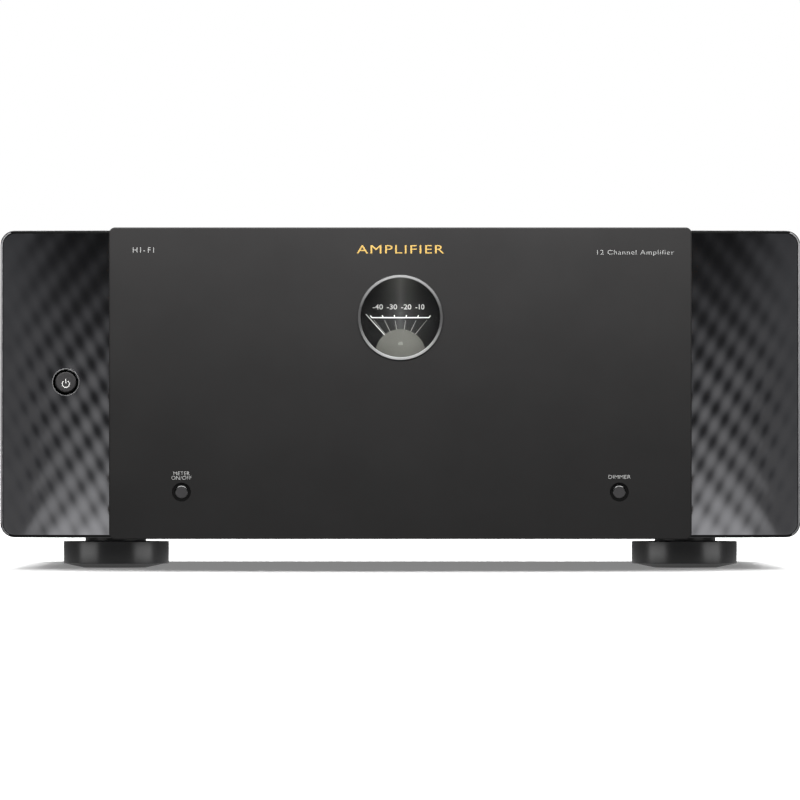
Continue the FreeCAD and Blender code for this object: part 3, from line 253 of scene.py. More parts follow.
def noise(tree, scale, detail=4.0, stretch=(1, 1, 1)):
    """Noise in the object's own metres."""
    place = tree.nodes.new("ShaderNodeTexCoord")
    mapping = tree.nodes.new("ShaderNodeMapping")
    mapping.inputs["Scale"].default_value = stretch
    texture = tree.nodes.new("ShaderNodeTexNoise")
    set_values(texture, {"Scale": scale, "Detail": detail, "Roughness": 0.55})
    tree.links.new(place.outputs["Object"], mapping.inputs["Vector"])
    tree.links.new(mapping.outputs["Vector"], texture.inputs["Vector"])
    return texture.outputs["Fac"]


def remap(tree, socket, low, high, start=0.3, end=0.7):
    """Socket's range turned into another."""
    node = tree.nodes.new("ShaderNodeMapRange")
    set_values(node, {"From Min": start, "From Max": end, "To Min": low, "To Max": high})
    tree.links.new(socket, node.inputs["Value"])
    return node.outputs["Result"]


def calculate(tree, operation, *values):
    """Socket with a sum of sockets and numbers."""
    node = tree.nodes.new("ShaderNodeMath")
    node.operation = operation
    for port, value in zip(node.inputs, values):
        if isinstance(value, bpy.types.NodeSocket):
            tree.links.new(value, port)
        else:
            port.default_value = value
    return node.outputs["Value"]


def own_place(tree, axis, kind="Object"):
    """Socket with one coordinate: of the place on the object in metres, or of another kind."""
    place = tree.nodes.new("ShaderNodeTexCoord")
    split = tree.nodes.new("ShaderNodeSeparateXYZ")
    tree.links.new(place.outputs[kind], split.inputs["Vector"])
    return split.outputs[axis]


def surface_by_ray(tree, ray, plain, special):
    """Output that takes the special shader for one kind of ray and the plain one for others."""
    rays = tree.nodes.new("ShaderNodeLightPath")
    mix = tree.nodes.new("ShaderNodeMixShader")
    tree.links.new(rays.outputs[ray], mix.inputs["Fac"])
    tree.links.new(plain.outputs[0], mix.inputs[1])
    tree.links.new(special.outputs[0], mix.inputs[2])
    out = next(n for n in tree.nodes if n.type in ("OUTPUT_MATERIAL", "OUTPUT_WORLD"))
    tree.links.new(mix.outputs["Shader"], out.inputs["Surface"])


def bump(tree, shader, socket, distance):
    """Relief in metres from a socket."""
    node = tree.nodes.new("ShaderNodeBump")
    set_values(node, {"Distance": distance, "Strength": 1.0})
    tree.links.new(socket, node.inputs["Height"])
    tree.links.new(node.outputs["Normal"], shader.inputs["Normal"])


FINE_GRAIN = 0.001 * MM


def surface(name, colour, roughness, metallic=0.0, tone=0.12, tone_scale=60, grain_scale=2500,
            grain_depth=1e-5, rough_spread=0.05, stretch=(1, 1, 1), coat=0.0, specular=0.5):
    """Solid surface with uneven tone, uneven gloss and a fine grain."""
    material, tree, shader = new_material(name)
    low = [c * (1 - tone) for c in colour]
    high = [min(1.0, c * (1 + tone)) for c in colour]
    cloud = noise(tree, tone_scale, 5.0, stretch)
    tree.links.new(mix_colours(tree, remap(tree, cloud, 0, 1), low, high), shader.inputs["Base Color"])
    grain = noise(tree, grain_scale, 3.0, stretch)
    gloss = remap(tree, grain, roughness - rough_spread, roughness + rough_spread)
    tree.links.new(gloss, shader.inputs["Roughness"])
    bump(tree, shader, grain, grain_depth)
    set_values(shader, {"Metallic": metallic, "Specular IOR Level": specular,
                        "Coat Weight": coat, "Coat Roughness": 0.1})
    return material


def ink(name, colour):
    """Even printing ink."""
    return surface(name, colour, 0.5, tone=0.04, grain_depth=FINE_GRAIN)


LENS_TINT = (0.97, 0.98, 0.98, 1)
LENS_BENDING = 1.12  # weaker than real glass, so that the dial isn't displaced


def lens_glass(name):
    """Clear glass that lets lamps through to the dial."""
    material, tree, shader = new_material(name)
    set_values(shader, {"Base Color": LENS_TINT, "Transmission Weight": 1.0, "IOR": LENS_BENDING})
    smear = remap(tree, noise(tree, 90), 0.0, 0.03)
    tree.links.new(smear, shader.inputs["Roughness"])
    clear = tree.nodes.new("ShaderNodeBsdfTransparent")
    surface_by_ray(tree, "Is Shadow Ray", shader, clear)
    return material


# painted highlight and painted glow on the dial: a lighter band, a streak and a glow towards the top
DIAL_DARK = (0.0015, 0.0015, 0.0015)
DIAL_PAINTED_HIGHLIGHT = (0.034, 0.034, 0.034)
DIAL_PAINTED_GLOW = (1.0, 0.97, 0.86)
DIAL_PAINTED_GLOW_STRENGTH = 0.05
HIGHLIGHT_BAND_POWER = 2.2  # how fast the painted highlight band fades sideways
HIGHLIGHT_BAND_RISE = (0.65, 2.0)  # the painted highlight's strength at the dial's middle and top
PAINTED_STREAK_STRENGTH = 0.55
STREAK_SHARE = 1 / 6  # the painted streak's width as a share of the band's
DIAL_GLOSS = (0.42, 0.55)
DIAL_GRAIN_DEPTH = 0.004 * MM


def dial_face(name, reach):
    """Dark satin dial with a painted highlight: a soft lighter band down its middle and a thin streak in it,
    stronger towards the top, where a painted glow is added too.
    """
    material, tree, shader = new_material(name)
    across, up = own_place(tree, "X"), own_place(tree, "Z")
    off = calculate(tree, "ABSOLUTE", across)
    band = calculate(tree, "POWER", remap(tree, off, 1.0, 0.0, 0.0, reach), HIGHLIGHT_BAND_POWER)
    streak = remap(tree, off, PAINTED_STREAK_STRENGTH, 0.0, 0.0, reach * STREAK_SHARE)
    dial_low, dial_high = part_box("meter_dial")
    middle = (dial_low.z + dial_high.z) / 2
    rise = remap(tree, up, *HIGHLIGHT_BAND_RISE, middle, dial_high.z)
    total = calculate(tree, "MULTIPLY_ADD", band, rise, streak)
    lit = remap(tree, up, 0.0, DIAL_PAINTED_GLOW_STRENGTH, middle, dial_high.z)
    tree.links.new(calculate(tree, "MULTIPLY", band, lit), shader.inputs["Emission Strength"])
    shader.inputs["Emission Color"].default_value = (*DIAL_PAINTED_GLOW, 1)
    mixed = mix_colours(tree, total, DIAL_DARK, DIAL_PAINTED_HIGHLIGHT)
    mixed.node.clamp_factor = False
    tree.links.new(mixed, shader.inputs["Base Color"])
    grain = noise(tree, 3000, 2.0)
    tree.links.new(remap(tree, grain, *DIAL_GLOSS), shader.inputs["Roughness"])
    bump(tree, shader, grain, DIAL_GRAIN_DEPTH)
    return material


# painted shade on the ring's sides and painted highlight along its top and bottom
RING_PAINTED_SHADE_SIDES = (0.1, 0.1, 0.1)
RING_PAINTED_HIGHLIGHT_ENDS = (0.5, 0.5, 0.5)
RING_FADE = (0.2, 0.95)  # shares of its half height between which the painted highlight grows
RING_TOP_LOSS = 0.15  # share of the painted highlight that the top loses and the bottom gains


def ring_metal(name, bottom, top):
    """Satin metal with a painted highlight along the ring's top and bottom and painted shade at its sides."""
    material = surface(name, RING_PAINTED_HIGHLIGHT_ENDS, 0.3, metallic=0.5, grain_depth=FINE_GRAIN, rough_spread=0.03)
    tree = material.node_tree
    shader = tree.nodes["Principled BSDF"]
    height = remap(tree, own_place(tree, "Z"), -1.0, 1.0, bottom, top)
    share = remap(tree, calculate(tree, "ABSOLUTE", height), 0.0, 1.0, *RING_FADE)
    loss = calculate(tree, "MULTIPLY", height, RING_TOP_LOSS)
    share = calculate(tree, "SUBTRACT", share, loss)
    tree.links.new(mix_colours(tree, share, RING_PAINTED_SHADE_SIDES, RING_PAINTED_HIGHLIGHT_ENDS), shader.inputs["Base Color"])
    return material


FLOOR_GLOW = 0.17  # the floor's brightness for all rays but the camera's
POOL_GLOW = 0.09  # more in front, for reflections only, times metres
POOL_REACH = 0.09  # how softly the pool fades ahead
POOL_HALF_WIDTH = 0.16  # it is whole up to here on each side
POOL_SLANT = (0.3, 1.8)  # metres outwards per metre ahead where it starts to fade and ends
SLANT_OFFSET = 0.08  # the slant starts this far behind the object's face


def studio_floor(name, tone, lift):
    """Pale floor; what it adds to the object is a bright pool in front and a dim rest."""
    material = surface(name, (tone, tone, tone), 0.7, tone=0.01, tone_scale=3, grain_scale=400)
    tree = material.node_tree
    shader = tree.nodes["Principled BSDF"]
    set_values(shader, {"Emission Color": (1, 1, 1, 1), "Emission Strength": lift})
    side = calculate(tree, "ABSOLUTE", own_place(tree, "X"))
    beyond = calculate(tree, "SUBTRACT", side, POOL_HALF_WIDTH)
    ahead = calculate(tree, "ABSOLUTE", calculate(tree, "ADD", own_place(tree, "Y"), -wing_low.y))
    slant = calculate(tree, "DIVIDE", beyond, calculate(tree, "ADD", ahead, SLANT_OFFSET))
    width = remap(tree, slant, POOL_GLOW, 0.0, *POOL_SLANT)
    pool = calculate(tree, "DIVIDE", width, calculate(tree, "ADD", ahead, POOL_REACH))
    rays = tree.nodes.new("ShaderNodeLightPath")
    seen = calculate(tree, "MULTIPLY_ADD", pool, rays.outputs["Is Glossy Ray"], FLOOR_GLOW)
    even = tree.nodes.new("ShaderNodeEmission")
    tree.links.new(seen, even.inputs["Strength"])
    surface_by_ray(tree, "Is Camera Ray", even, shader)
    return material


ANODISED = surface("panel_anodised", (0.022, 0.0215, 0.0215), 0.5, tone=0.06,
                   tone_scale=25, grain_scale=3800, grain_depth=8e-6, rough_spread=0.06, specular=0.12)
WING = surface("wing_satin", (0.33, 0.33, 0.345), 0.2, metallic=1.0, tone=0.06, tone_scale=40,
               grain_scale=1800, grain_depth=5e-7, rough_spread=0.02)
WING_EDGE = surface("wing_polished_edge", (0.41, 0.41, 0.42), 0.3, metallic=0.3, tone=0.05,
                    grain_depth=FINE_GRAIN, rough_spread=0.03)
# dark copy that paints shade on the wing's rim
WING_PAINTED_SHADE = surface("wing_painted_shade", (0.005, 0.005, 0.005), 0.5, specular=0.1)
CHROME = surface("satin_ring_metal", (0.36, 0.36, 0.365), 0.3, metallic=0.5, tone=0.04,
                 grain_depth=FINE_GRAIN, rough_spread=0.03)
# dark copy for ring faces, which paints shade in bores and on outer slopes
RING_PAINTED_SHADE = surface("ring_painted_shade", (0.02, 0.02, 0.02), 0.4, tone=0.05)
KEY = surface("key_anodised", (0.04, 0.039, 0.04), 0.42, tone=0.06, grain_scale=4000, grain_depth=6e-6)
# bright copy that paints a highlight on the keys' upper chamfer
KEY_PAINTED_HIGHLIGHT = surface("key_painted_highlight", (0.27, 0.27, 0.27), 0.2, metallic=1.0, tone=0.05)
# near-black ring that stands in for the shade in the keys' gaps
KEY_GAP_SHADE = surface("key_gap_painted_shade", (0.006, 0.006, 0.006), 0.5, specular=0.2)
BLACK_STEEL = surface("textured_black_paint", (0.022, 0.022, 0.023), 0.5, tone=0.15,
                      tone_scale=30, grain_scale=1500, grain_depth=5e-5, rough_spread=0.1)
BLACK_PLASTIC = surface("black_plastic", (0.018, 0.018, 0.019), 0.45, tone=0.15,
                        grain_scale=2200, grain_depth=2e-5)
FRAME_BLACK = surface("frame_black", (0.02, 0.02, 0.021), 0.55, tone=0.1, grain_scale=2000,
                      grain_depth=2e-5)
RUBBER = surface("pad_rubber", (0.02, 0.02, 0.02), 0.8, tone=0.2, grain_scale=1200, grain_depth=5e-5)
MASK = surface("mask_paint", (0.067, 0.067, 0.059), 0.45, tone=0.06, grain_scale=3000, grain_depth=4e-6)
WHITE_PRINT = ink("white_print", (0.8, 0.8, 0.78))
CAPTION_PRINT = ink("caption_print", (0.5, 0.5, 0.49))
HAIR_PRINT = ink("hairline_print", (0.2, 0.2, 0.19))
GREY_PRINT = ink("grey_print", (0.28, 0.28, 0.275))
UNIT_PRINT = ink("unit_print", (0.2, 0.2, 0.19))
GOLD_PRINT = surface("gold_print", (0.5, 0.33, 0.1), 0.35, metallic=0.2, tone=0.08,
                     grain_depth=FINE_GRAIN)
GOLD = surface("gold_plate", (0.83, 0.6, 0.24), 0.22, metallic=1.0, tone=0.08, grain_depth=2e-6)
ALUMINIUM = surface("mill_aluminium", (0.6, 0.61, 0.62), 0.38, metallic=1.0, tone=0.1,
                    stretch=(1, 12, 1), grain_depth=4e-6)
BLACK_CHROME = surface("black_chrome", (0.11, 0.11, 0.115), 0.28, metallic=1.0, tone=0.08,
                       grain_depth=2e-6)
SCREW = surface("black_screw", (0.05, 0.05, 0.052), 0.35, metallic=1.0, tone=0.1)
RED_CAP = surface("red_cap", (0.42, 0.018, 0.02), 0.25, tone=0.08, grain_depth=3e-6, coat=0.4)
BLACK_CAP = surface("black_cap", (0.016, 0.016, 0.017), 0.25, tone=0.08, grain_depth=3e-6, coat=0.4)
WHITE_PLASTIC = surface("white_insulator", (0.75, 0.74, 0.7), 0.4, tone=0.04)
BOARD = surface("circuit_board", (0.012, 0.09, 0.045), 0.4, tone=0.3, tone_scale=300, grain_depth=2e-5)
FERRITE = surface("sleeved_parts", (0.05, 0.045, 0.04), 0.5, tone=0.3, grain_scale=800,
                  grain_depth=5e-5)
FLOOR = studio_floor("pale_floor", tone=0.86, lift=0.205)
AMBER = surface("amber_guide", (0.5, 0.22, 0.06), 0.4, tone=0.2)
set_values(AMBER.node_tree.nodes["Principled BSDF"],
           {"Emission Color": (1.0, 0.45, 0.12, 1), "Emission Strength": 0.35})
LENS = lens_glass("meter_lens_glass")
NEEDLE = surface("needle_white", (0.46, 0.46, 0.45), 0.4, tone=0.03)

PLAIN_MATERIALS = (
    (ANODISED, "front_panel"), (AMBER, "light_guides"), (FRAME_BLACK, "front_frame"),
    (ALUMINIUM, "panel_standoffs meter_movement heatsinks"), (MASK, "meter_mask"),
    (BLACK_PLASTIC, "meter_housing xlr_inserts terminal_bases control_jacks ac_inlet"),
    (NEEDLE, "meter_needle"), (LENS, "meter_lens"), (FERRITE, "psu_parts"),
    (BOARD, "control_board input_board psu_board amp_boards"), (RUBBER, "foot_pads"),
    (BLACK_STEEL, "base_plate top_cover rear_panel"), (SCREW, "chassis_screws"),
    (BLACK_CHROME, "xlr_shells"), (GOLD, "rca_jacks terminal_posts"),
)
HIGHLIGHT_BAND_SHARE = 0.8  # half the painted highlight band's width as a share of the dial's radius


def paint_cad_nodes():
    """Better materials on the CAD nodes that stay visible."""
    for material, names in PLAIN_MATERIALS:
        for name in names.split():
            for holder in NODES[name].material_slots:
                holder.material = material
    for name, thing in NODES.items():
        if name.startswith("plus_nut"):
            thing.material_slots[0].material = RED_CAP
        elif name.startswith("minus_nut"):
            thing.material_slots[0].material = BLACK_CAP
    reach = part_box("meter_dial")[1].x * HIGHLIGHT_BAND_SHARE
    NODES["meter_dial"].material_slots[0].material = dial_face("dial_satin_painted_highlight", reach)


# ------ wings

BEND_X = 155 * MM  # where the flat front starts to sweep back
BEND_RADIUS = 85 * MM
CORNER = 8 * MM  # rounded outer corners, seen from the front
RIM = 1.6 * MM  # polished edge round the face, with a dark groove line of painted shade inside it
RIM_STEPS = ((0.3, 0.3), (0.65, 0.42), (0.9, 0.8), (1.0, 1.5))  # outwards, back
RELIEF = 0.15 * MM
# waves per metre outwards and up, share, and how much of it is lost towards the top
RIDGES = ((-57.3, -48.8, 1.0, 0.6), (-117.4, 63.9, 0.76, 0.88))
RIDGE_FADE = (80 * MM, 165 * MM)  # heights where that loss starts and is complete
RELIEF_START = 200 * MM  # from here to the rim the bumps lose RELIEF_LOSS of their height
RELIEF_LOSS = 0.7
LEVEL_Z = 100 * MM  # height where the face is upright
TILT_HIGH = 0.105
TILT_LOW = 0.16  # slope of the part that turns under, at the bottom edge
SWELL_FADE = (175 * MM, 215 * MM)  # places between which the slopes lose SWELL_LOSS
SWELL_LOSS = 0.6
WING_COLUMNS = 96
WING_ROWS = 210
CORNER_ROWS = 10
WING_LIP = 6.5 * MM
WING_SHARP_ANGLE = math.radians(40)
LEVEL_RIM = 0.9  # upright share of the rim's direction from which it is level and gets painted shade
CORNER_RIM = 0.15  # and from which it belongs to a corner, which gets painted shade too
BODY, EDGE, PAINTED_SHADE = 0, 1, 2  # the wing's material slots
HOLE_DEPTH = 8 * MM  # only faces less than this behind the ring's middle are cut
RING_OVERLAP = 0.7 * MM  # how far the ring covers the opening's edge


def smooth_step(value, start, end):
    """0 before start, 1 after end and a smooth rise between."""
    t = min(1.0, max(0.0, (value - start) / (end - start)))
    return t * t * (3 - 2 * t)


def wing_relief(across, z):
    """Height of the egg-crate bumps at a place on the wing."""
    rise = smooth_step(z, *RIDGE_FADE)
    wave = sum(share * (1 - lost * rise) * math.cos(2 * math.pi * (out * across + up * z))
               for out, up, share, lost in RIDGES)
    fade = 1 - RELIEF_LOSS * smooth_step(across, RELIEF_START, wing_high.x - RIM)
    return wave * RELIEF * fade


def wing_front(across, z):
    """Y of the wing's front surface: flat, then swept back, and swelling at mid height."""
    sweep = max(0.0, across - BEND_X)
    fall = BEND_RADIUS - math.sqrt(BEND_RADIUS ** 2 - sweep ** 2)
    if z > LEVEL_Z:
        swell = TILT_HIGH * (z - LEVEL_Z) ** 2 / (2 * (wing_high.z - LEVEL_Z))
    else:
        swell = TILT_LOW * (LEVEL_Z - z) ** 3 / (3 * (LEVEL_Z - wing_low.z) ** 2)
    swell *= 1 - SWELL_LOSS * smooth_step(across, *SWELL_FADE)
    return wing_low.y + RELIEF + fall + swell - wing_relief(across, z)


def outer_edge(z, inset):
    """Outer X of the wing's face at a height, with rounded corners."""
    radius = CORNER - inset
    top = wing_high.z - inset
    bottom = wing_low.z + inset
    edge = wing_high.x - inset
    for corner, sign in ((top - radius, 1), (bottom + radius, -1)):
        past = (z - corner) * sign
        if past > 0:
            return edge - radius + math.sqrt(max(0.0, radius ** 2 - past ** 2))
    return edge


def wing_heights(inset):
    """Row heights that are dense in the rounded corners."""
    bottom = wing_low.z + inset
    top = wing_high.z - inset
    radius = CORNER - inset
    turns = [math.pi / 2 * i / CORNER_ROWS for i in range(CORNER_ROWS)]
    low = [bottom + radius * (1 - math.cos(turn)) for turn in turns]
    high = [top - (z - bottom) for z in reversed(low)]
    start = bottom + radius
    rise = top - radius - start
    return low + [start + rise * i / WING_ROWS for i in range(WING_ROWS + 1)] + high


def wing_face():
    """Vertices, rows and faces of a wing's textured face."""
    verts = []
    faces = []
    rows = []
    for z in wing_heights(RIM):
        reach = outer_edge(z, RIM) - wing_low.x
        row = []
        for i in range(WING_COLUMNS + 1):
            x = wing_low.x + reach * i / WING_COLUMNS
            row.append(len(verts))
            verts.append(Vector((x, wing_front(x, z), z)))
        rows.append(row)
    for low_row, high_row in zip(rows, rows[1:]):
        for i in range(WING_COLUMNS):
            faces.append((low_row[i], low_row[i + 1], high_row[i + 1], high_row[i]))
    return verts, rows, faces


def rim_rings(verts, edge, outward):
    """Rings of vertices from the face's edge over the rim and back to the lip."""
    face = [verts[i] for i in edge]
    steps = [[start + direction * RIM * grow + Vector((0, RIM * drop, 0))
              for start, direction in zip(face, outward)] for grow, drop in RIM_STEPS]
    back = [Vector((place.x, wing_high.y, place.z)) for place in steps[-1]]
    lip = [place - direction * WING_LIP for place, direction in zip(back, outward)]
    rings = [edge]
    for places in (*steps, back, lip):
        rings.append(range(len(verts), len(verts) + len(places)))
        verts += places
    return rings


def rim_kind(number, upright):
    """Material slot of a rim face from its ring's number and its direction's upright share: painted shade on the
    groove band, the level top and bottom and the corners, the polished edge on the upright sides.
    """
    if number >= len(RIM_STEPS):
        return BODY
    corner = upright > CORNER_RIM and number > 1
    return PAINTED_SHADE if number == 0 or upright > LEVEL_RIM or corner else EDGE


def make_wing(name, side):
    """One moulded wing: textured face, polished rim with painted shade along its groove, top, bottom and corners,
    side walls and a lip at the back.
    """
    verts, rows, faces = wing_face()
    kinds = [BODY] * len(faces)
    # the rim runs along the bottom, up the outer side and back along the top
    edge = rows[0][:-1] + [row[-1] for row in rows] + list(reversed(rows[-1][:-1]))
    outward = [rim_direction(verts[i]) for i in edge]
    rings = rim_rings(verts, edge, outward)
    for number, (one, two) in enumerate(zip(rings, rings[1:])):
        for i in range(len(one) - 1):
            faces.append((one[i], one[i + 1], two[i + 1], two[i]))
            kinds.append(rim_kind(number, abs(outward[i].z)))
    if side < 0:
        verts = [Vector((-v.x, v.y, v.z)) for v in verts]
    mesh = bpy.data.meshes.new(name)
    mesh.from_pydata([tuple(v) for v in verts], [], faces)
    for material in (WING, WING_EDGE, WING_PAINTED_SHADE):
        mesh.materials.append(material)
    for polygon, kind in zip(mesh.polygons, kinds):
        polygon.material_index = kind
    work = bmesh.new()
    work.from_mesh(mesh)
    bmesh.ops.recalc_face_normals(work, faces=work.faces)
    if sum(f.normal.y * f.calc_area() for f in work.faces) > 0:
        bmesh.ops.reverse_faces(work, faces=work.faces)
    work.to_mesh(mesh)
    work.free()
    mesh.shade_smooth()
    mesh.set_sharp_from_angle(angle=WING_SHARP_ANGLE)
    return add_object(name, mesh)


def rim_direction(point):
    """Outward direction in the front view, for a point on the edge of a wing's face."""
    top = wing_high.z - CORNER
    bottom = wing_low.z + CORNER
    corner_x = wing_high.x - CORNER
    z = min(max(point.z, bottom), top)
    if point.x > corner_x:
        direction = Vector((point.x - corner_x, 0, point.z - z))
        return direction.normalized() if direction.length > TINY else Vector((1, 0, 0))
    return Vector((0, 0, 1 if point.z > top else -1))


def make_wings():
    """Both wings; the left one has a hole for the power button's ring."""
    for side, name, node in ((-1, "left_wing_moulding", "left_wing"),
                             (1, "right_wing_moulding", "right_wing")):
        wing = make_wing(name, side)
        if side < 0:
            cut_ring_hole(wing)
        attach(wing, "chassis")
        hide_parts(node)


def cut_ring_hole(wing):
    """Opening for the ring: the faces inside it are removed."""
    low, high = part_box("power_ring")
    centre = (low + high) / 2
    radius = (high.x - low.x) / 2
    work = bmesh.new()
    work.from_mesh(wing.data)
    inside = []
    for face in work.faces:
        offset = face.calc_center_median() - centre
        if offset.y < HOLE_DEPTH and math.hypot(offset.x, offset.z) < radius - RING_OVERLAP:
            inside.append(face)
    bmesh.ops.delete(work, geom=inside, context="FACES")
    work.to_mesh(wing.data)
    work.free()


# ------ buttons and meter

POWER_RING_WIDTH = 0.4 * MM
CAP_TRIM = 0.4 * MM  # how much smaller the power cap's radius is than the CAD's
INNER_SHADE = 0.05 * MM  # faces this near the ring's bore get painted shade
SYMBOL_DROP = 0.95 * MM  # the symbol's ring is centred this far below the cap's middle
SYMBOL_RADIUS = 1.95 * MM
SYMBOL_HALF_LINE = 0.22 * MM
SYMBOL_FRONT = -0.05 * MM  # its front and back, measured from the cap's face
SYMBOL_BACK = 0.08 * MM
SYMBOL_GAP = math.radians(38)
SYMBOL_STEPS = 40
SYMBOL_BAR = (0.35 * MM, 2.75 * MM)  # the bar's two ends above the ring's middle

KEY_TRIM = 0.2 * MM
KEY_CHAMFER = 0.5 * MM
KEY_HIGHLIGHT_DEPTH = 0.3 * MM  # upper chamfer faces in front of this depth get a painted highlight
# dark sleeve in each key's gap: it stands in for the shade there
SLEEVE_GAP = 0.25 * MM
SLEEVE_REACH = 1.6 * MM
SLEEVE_DEPTH = 3 * MM
SLEEVE_BACK = 0.6 * MM  # how far the sleeve stands behind the panel's face

BEZEL_LIP = 21.9 * MM
BEZEL_BRIGHT = 23.3 * MM  # painted shade outside this radius
BEZEL_WALL = 0.7 * MM
BEZEL_LIP_DEPTH = 1 * MM
BEZEL_LIP_CHAMFER = 0.2 * MM
BEZEL_SLOPE = 0.5 * MM
# faces deeper than this behind the front get painted shade
BEZEL_BRIGHT_DEPTH = 0.3 * MM


def round_part(node):
    """Middle of a round CAD part's front face, its radius and its depth."""
    low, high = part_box(node)
    centre = Vector(((low.x + high.x) / 2, low.y, (low.z + high.z) / 2))
    return centre, (high.x - low.x) / 2, high.y - low.y


def band_profile(inner, outer, depth):
    """Closed profile of a plain ring."""
    return [(inner, depth), (inner, 0), (outer, 0), (outer, depth), (inner, depth)]


def cap_profile(radius, depth, dish, share, chamfer, drop, skirt, stem):
    """Profile of a slightly dished cap with a chamfer, a skirt and a thin stem."""
    return [(0, dish), (radius * share, dish / 2), (radius - chamfer, 0), (radius, drop),
            (radius, skirt), (stem, skirt), (stem, depth), (0, depth)]


def paint_faces(piece, centre, material, chosen):
    """Second material on the faces chosen by their distance from the axis and their offset."""
    piece.data.materials.append(material)
    for polygon in piece.data.polygons:
        offset = polygon.center - centre
        if chosen(math.hypot(offset.x, offset.z), offset):
            polygon.material_index = 1


def make_power_button():
    """Bright ring with painted shade in its bore, dark cap and its printed symbol."""
    centre, outer, depth = round_part("power_ring")
    inner = outer - POWER_RING_WIDTH
    section = rounded(band_profile(inner, outer, depth), 0.2 * MM)
    ring = lathe("power_bezel", section, centre, "Y", "chassis", CHROME, segments=128)
    # painted shade in the ring's bore
    paint_faces(ring, centre, RING_PAINTED_SHADE, lambda reach, offset: reach < inner + INNER_SHADE)
    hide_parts("power_ring")
    front, radius, depth = round_part("power_button")
    face = Vector((centre.x, front.y, centre.z))
    section = cap_profile(radius - CAP_TRIM, depth, dish=0.1 * MM, share=0.55,
                          chamfer=0.7 * MM, drop=0.7 * MM, skirt=9 * MM, stem=2 * MM)
    cap = lathe("power_cap", rounded(section, 0.35 * MM), face, "Y", "power", KEY,
                segments=128)
    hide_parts("power_button")
    make_power_symbol(face + Vector((0, 0, -SYMBOL_DROP)))


def make_power_symbol(face):
    """Broken ring with a short upright bar."""
    verts = []
    faces = []
    for i in range(SYMBOL_STEPS + 1):
        turn = math.pi / 2 + SYMBOL_GAP + 2 * (math.pi - SYMBOL_GAP) * i / SYMBOL_STEPS
        for reach in (SYMBOL_RADIUS - SYMBOL_HALF_LINE, SYMBOL_RADIUS + SYMBOL_HALF_LINE):
            x, z = reach * math.cos(turn), reach * math.sin(turn)
            for depth in (SYMBOL_FRONT, SYMBOL_BACK):
                verts.append(face + Vector((x, depth, z)))
    for i in range(SYMBOL_STEPS):
        a, b = 4 * i, 4 * (i + 1)
        for one, two in ((0, 2), (2, 3), (3, 1), (1, 0)):
            faces.append((a + one, a + two, b + two, b + one))
    end = 4 * SYMBOL_STEPS
    faces += [(0, 1, 3, 2), (end, end + 2, end + 3, end + 1)]
    foot, top = SYMBOL_BAR
    bar = block_parts(face + Vector((-SYMBOL_HALF_LINE, SYMBOL_FRONT, foot)),
                      face + Vector((SYMBOL_HALF_LINE, SYMBOL_BACK, top)))
    verts, faces = joined([(verts, faces), bar])
    add_piece("power_symbol", verts, faces, "power", WHITE_PRINT, smooth=False)


def make_keys():
    """Small round keys with a painted highlight on the upper chamfer, each in a dark sleeve that stands in for the
    shade in its gap.
    """
    for node, body in (("meter_button", "meter_key"), ("dimmer_button", "dimmer_key")):
        face, radius, depth = round_part(node)
        radius -= KEY_TRIM
        section = cap_profile(radius, depth, dish=0.12 * MM, share=0.6, chamfer=KEY_CHAMFER,
                              drop=0.24 * MM, skirt=6.5 * MM, stem=1.5 * MM)
        key = lathe(f"{node}_cap", rounded(section, 0.15 * MM), face, "Y", body,
                    KEY)
        start = radius - KEY_CHAMFER
        paint_faces(key, face, KEY_PAINTED_HIGHLIGHT, lambda reach, offset: (
            reach > start and offset.y < KEY_HIGHLIGHT_DEPTH and offset.z > 0))
        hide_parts(node)
        sleeve = band_profile(radius + SLEEVE_GAP, radius + SLEEVE_REACH, SLEEVE_DEPTH)
        lathe(f"{node}_sleeve", sleeve, Vector((face.x, PANEL_FACE + SLEEVE_BACK, face.z)), "Y",
              "chassis", KEY_GAP_SHADE)


def make_bezel():
    """Ring round the meter, in metal with painted highlight and shade, with painted shade on its outer slope and
    on the faces behind its front.
    """
    centre, outer, depth = round_part("meter_bezel")
    low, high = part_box("meter_bezel")
    wall = outer - BEZEL_WALL
    section = [(wall, depth), (wall, BEZEL_LIP_DEPTH), (BEZEL_LIP, BEZEL_LIP_DEPTH),
               (BEZEL_LIP, BEZEL_LIP_CHAMFER), (BEZEL_LIP + BEZEL_LIP_CHAMFER, 0),
               (BEZEL_BRIGHT, 0), (outer, BEZEL_SLOPE), (outer, depth), (wall, depth)]
    ring = lathe("meter_bezel_ring", rounded(section, 0.12 * MM), centre, "Y", "chassis",
                 ring_metal("meter_ring_painted_light", low.z, high.z), segments=160)
    # painted shade on the outer slope and behind the front
    paint_faces(ring, centre, RING_PAINTED_SHADE, lambda reach, offset: (
        reach > BEZEL_BRIGHT or offset.y > BEZEL_BRIGHT_DEPTH))
    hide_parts("meter_bezel")


# ------ dial printing

PRINT_OFFSET = 0.02 * MM  # from a face to the middle of its printing's thickness
DIAL_LIFT = 0.06 * MM
LINE_DROP = 0.05 * MM  # how far the scale's line is below the dial's middle
LINE_HALF = 0.28 * MM
LINE_EXTRA = 0.1 * MM  # how far the line runs past its first and last tick
TICKS = 6
FIRST_TICK = -15.6 * MM
TICK_PITCH = 6.24 * MM
TICK_LENGTH = 1.4 * MM
TICK_HALF = 0.27 * MM
HAIR_START = 12.4 * MM  # distance from the pivot
HAIR_GAP = 1.6 * MM  # between a hairline's end and the line's middle
HAIR_HALF = 0.14 * MM
NUMBER_HEIGHT = 2.7 * MM
NUMBER_RISE = 5.7 * MM
NUMBER_WEIGHT = 0.03 * MM
DIAL_NUMBERS = (("-40", -12.4, 5.6), ("-30", -4.6, 5.6), ("-20", 3.2, 5.6),
                ("-10", 10.7, 4.8))  # each number's middle and width in millimetres
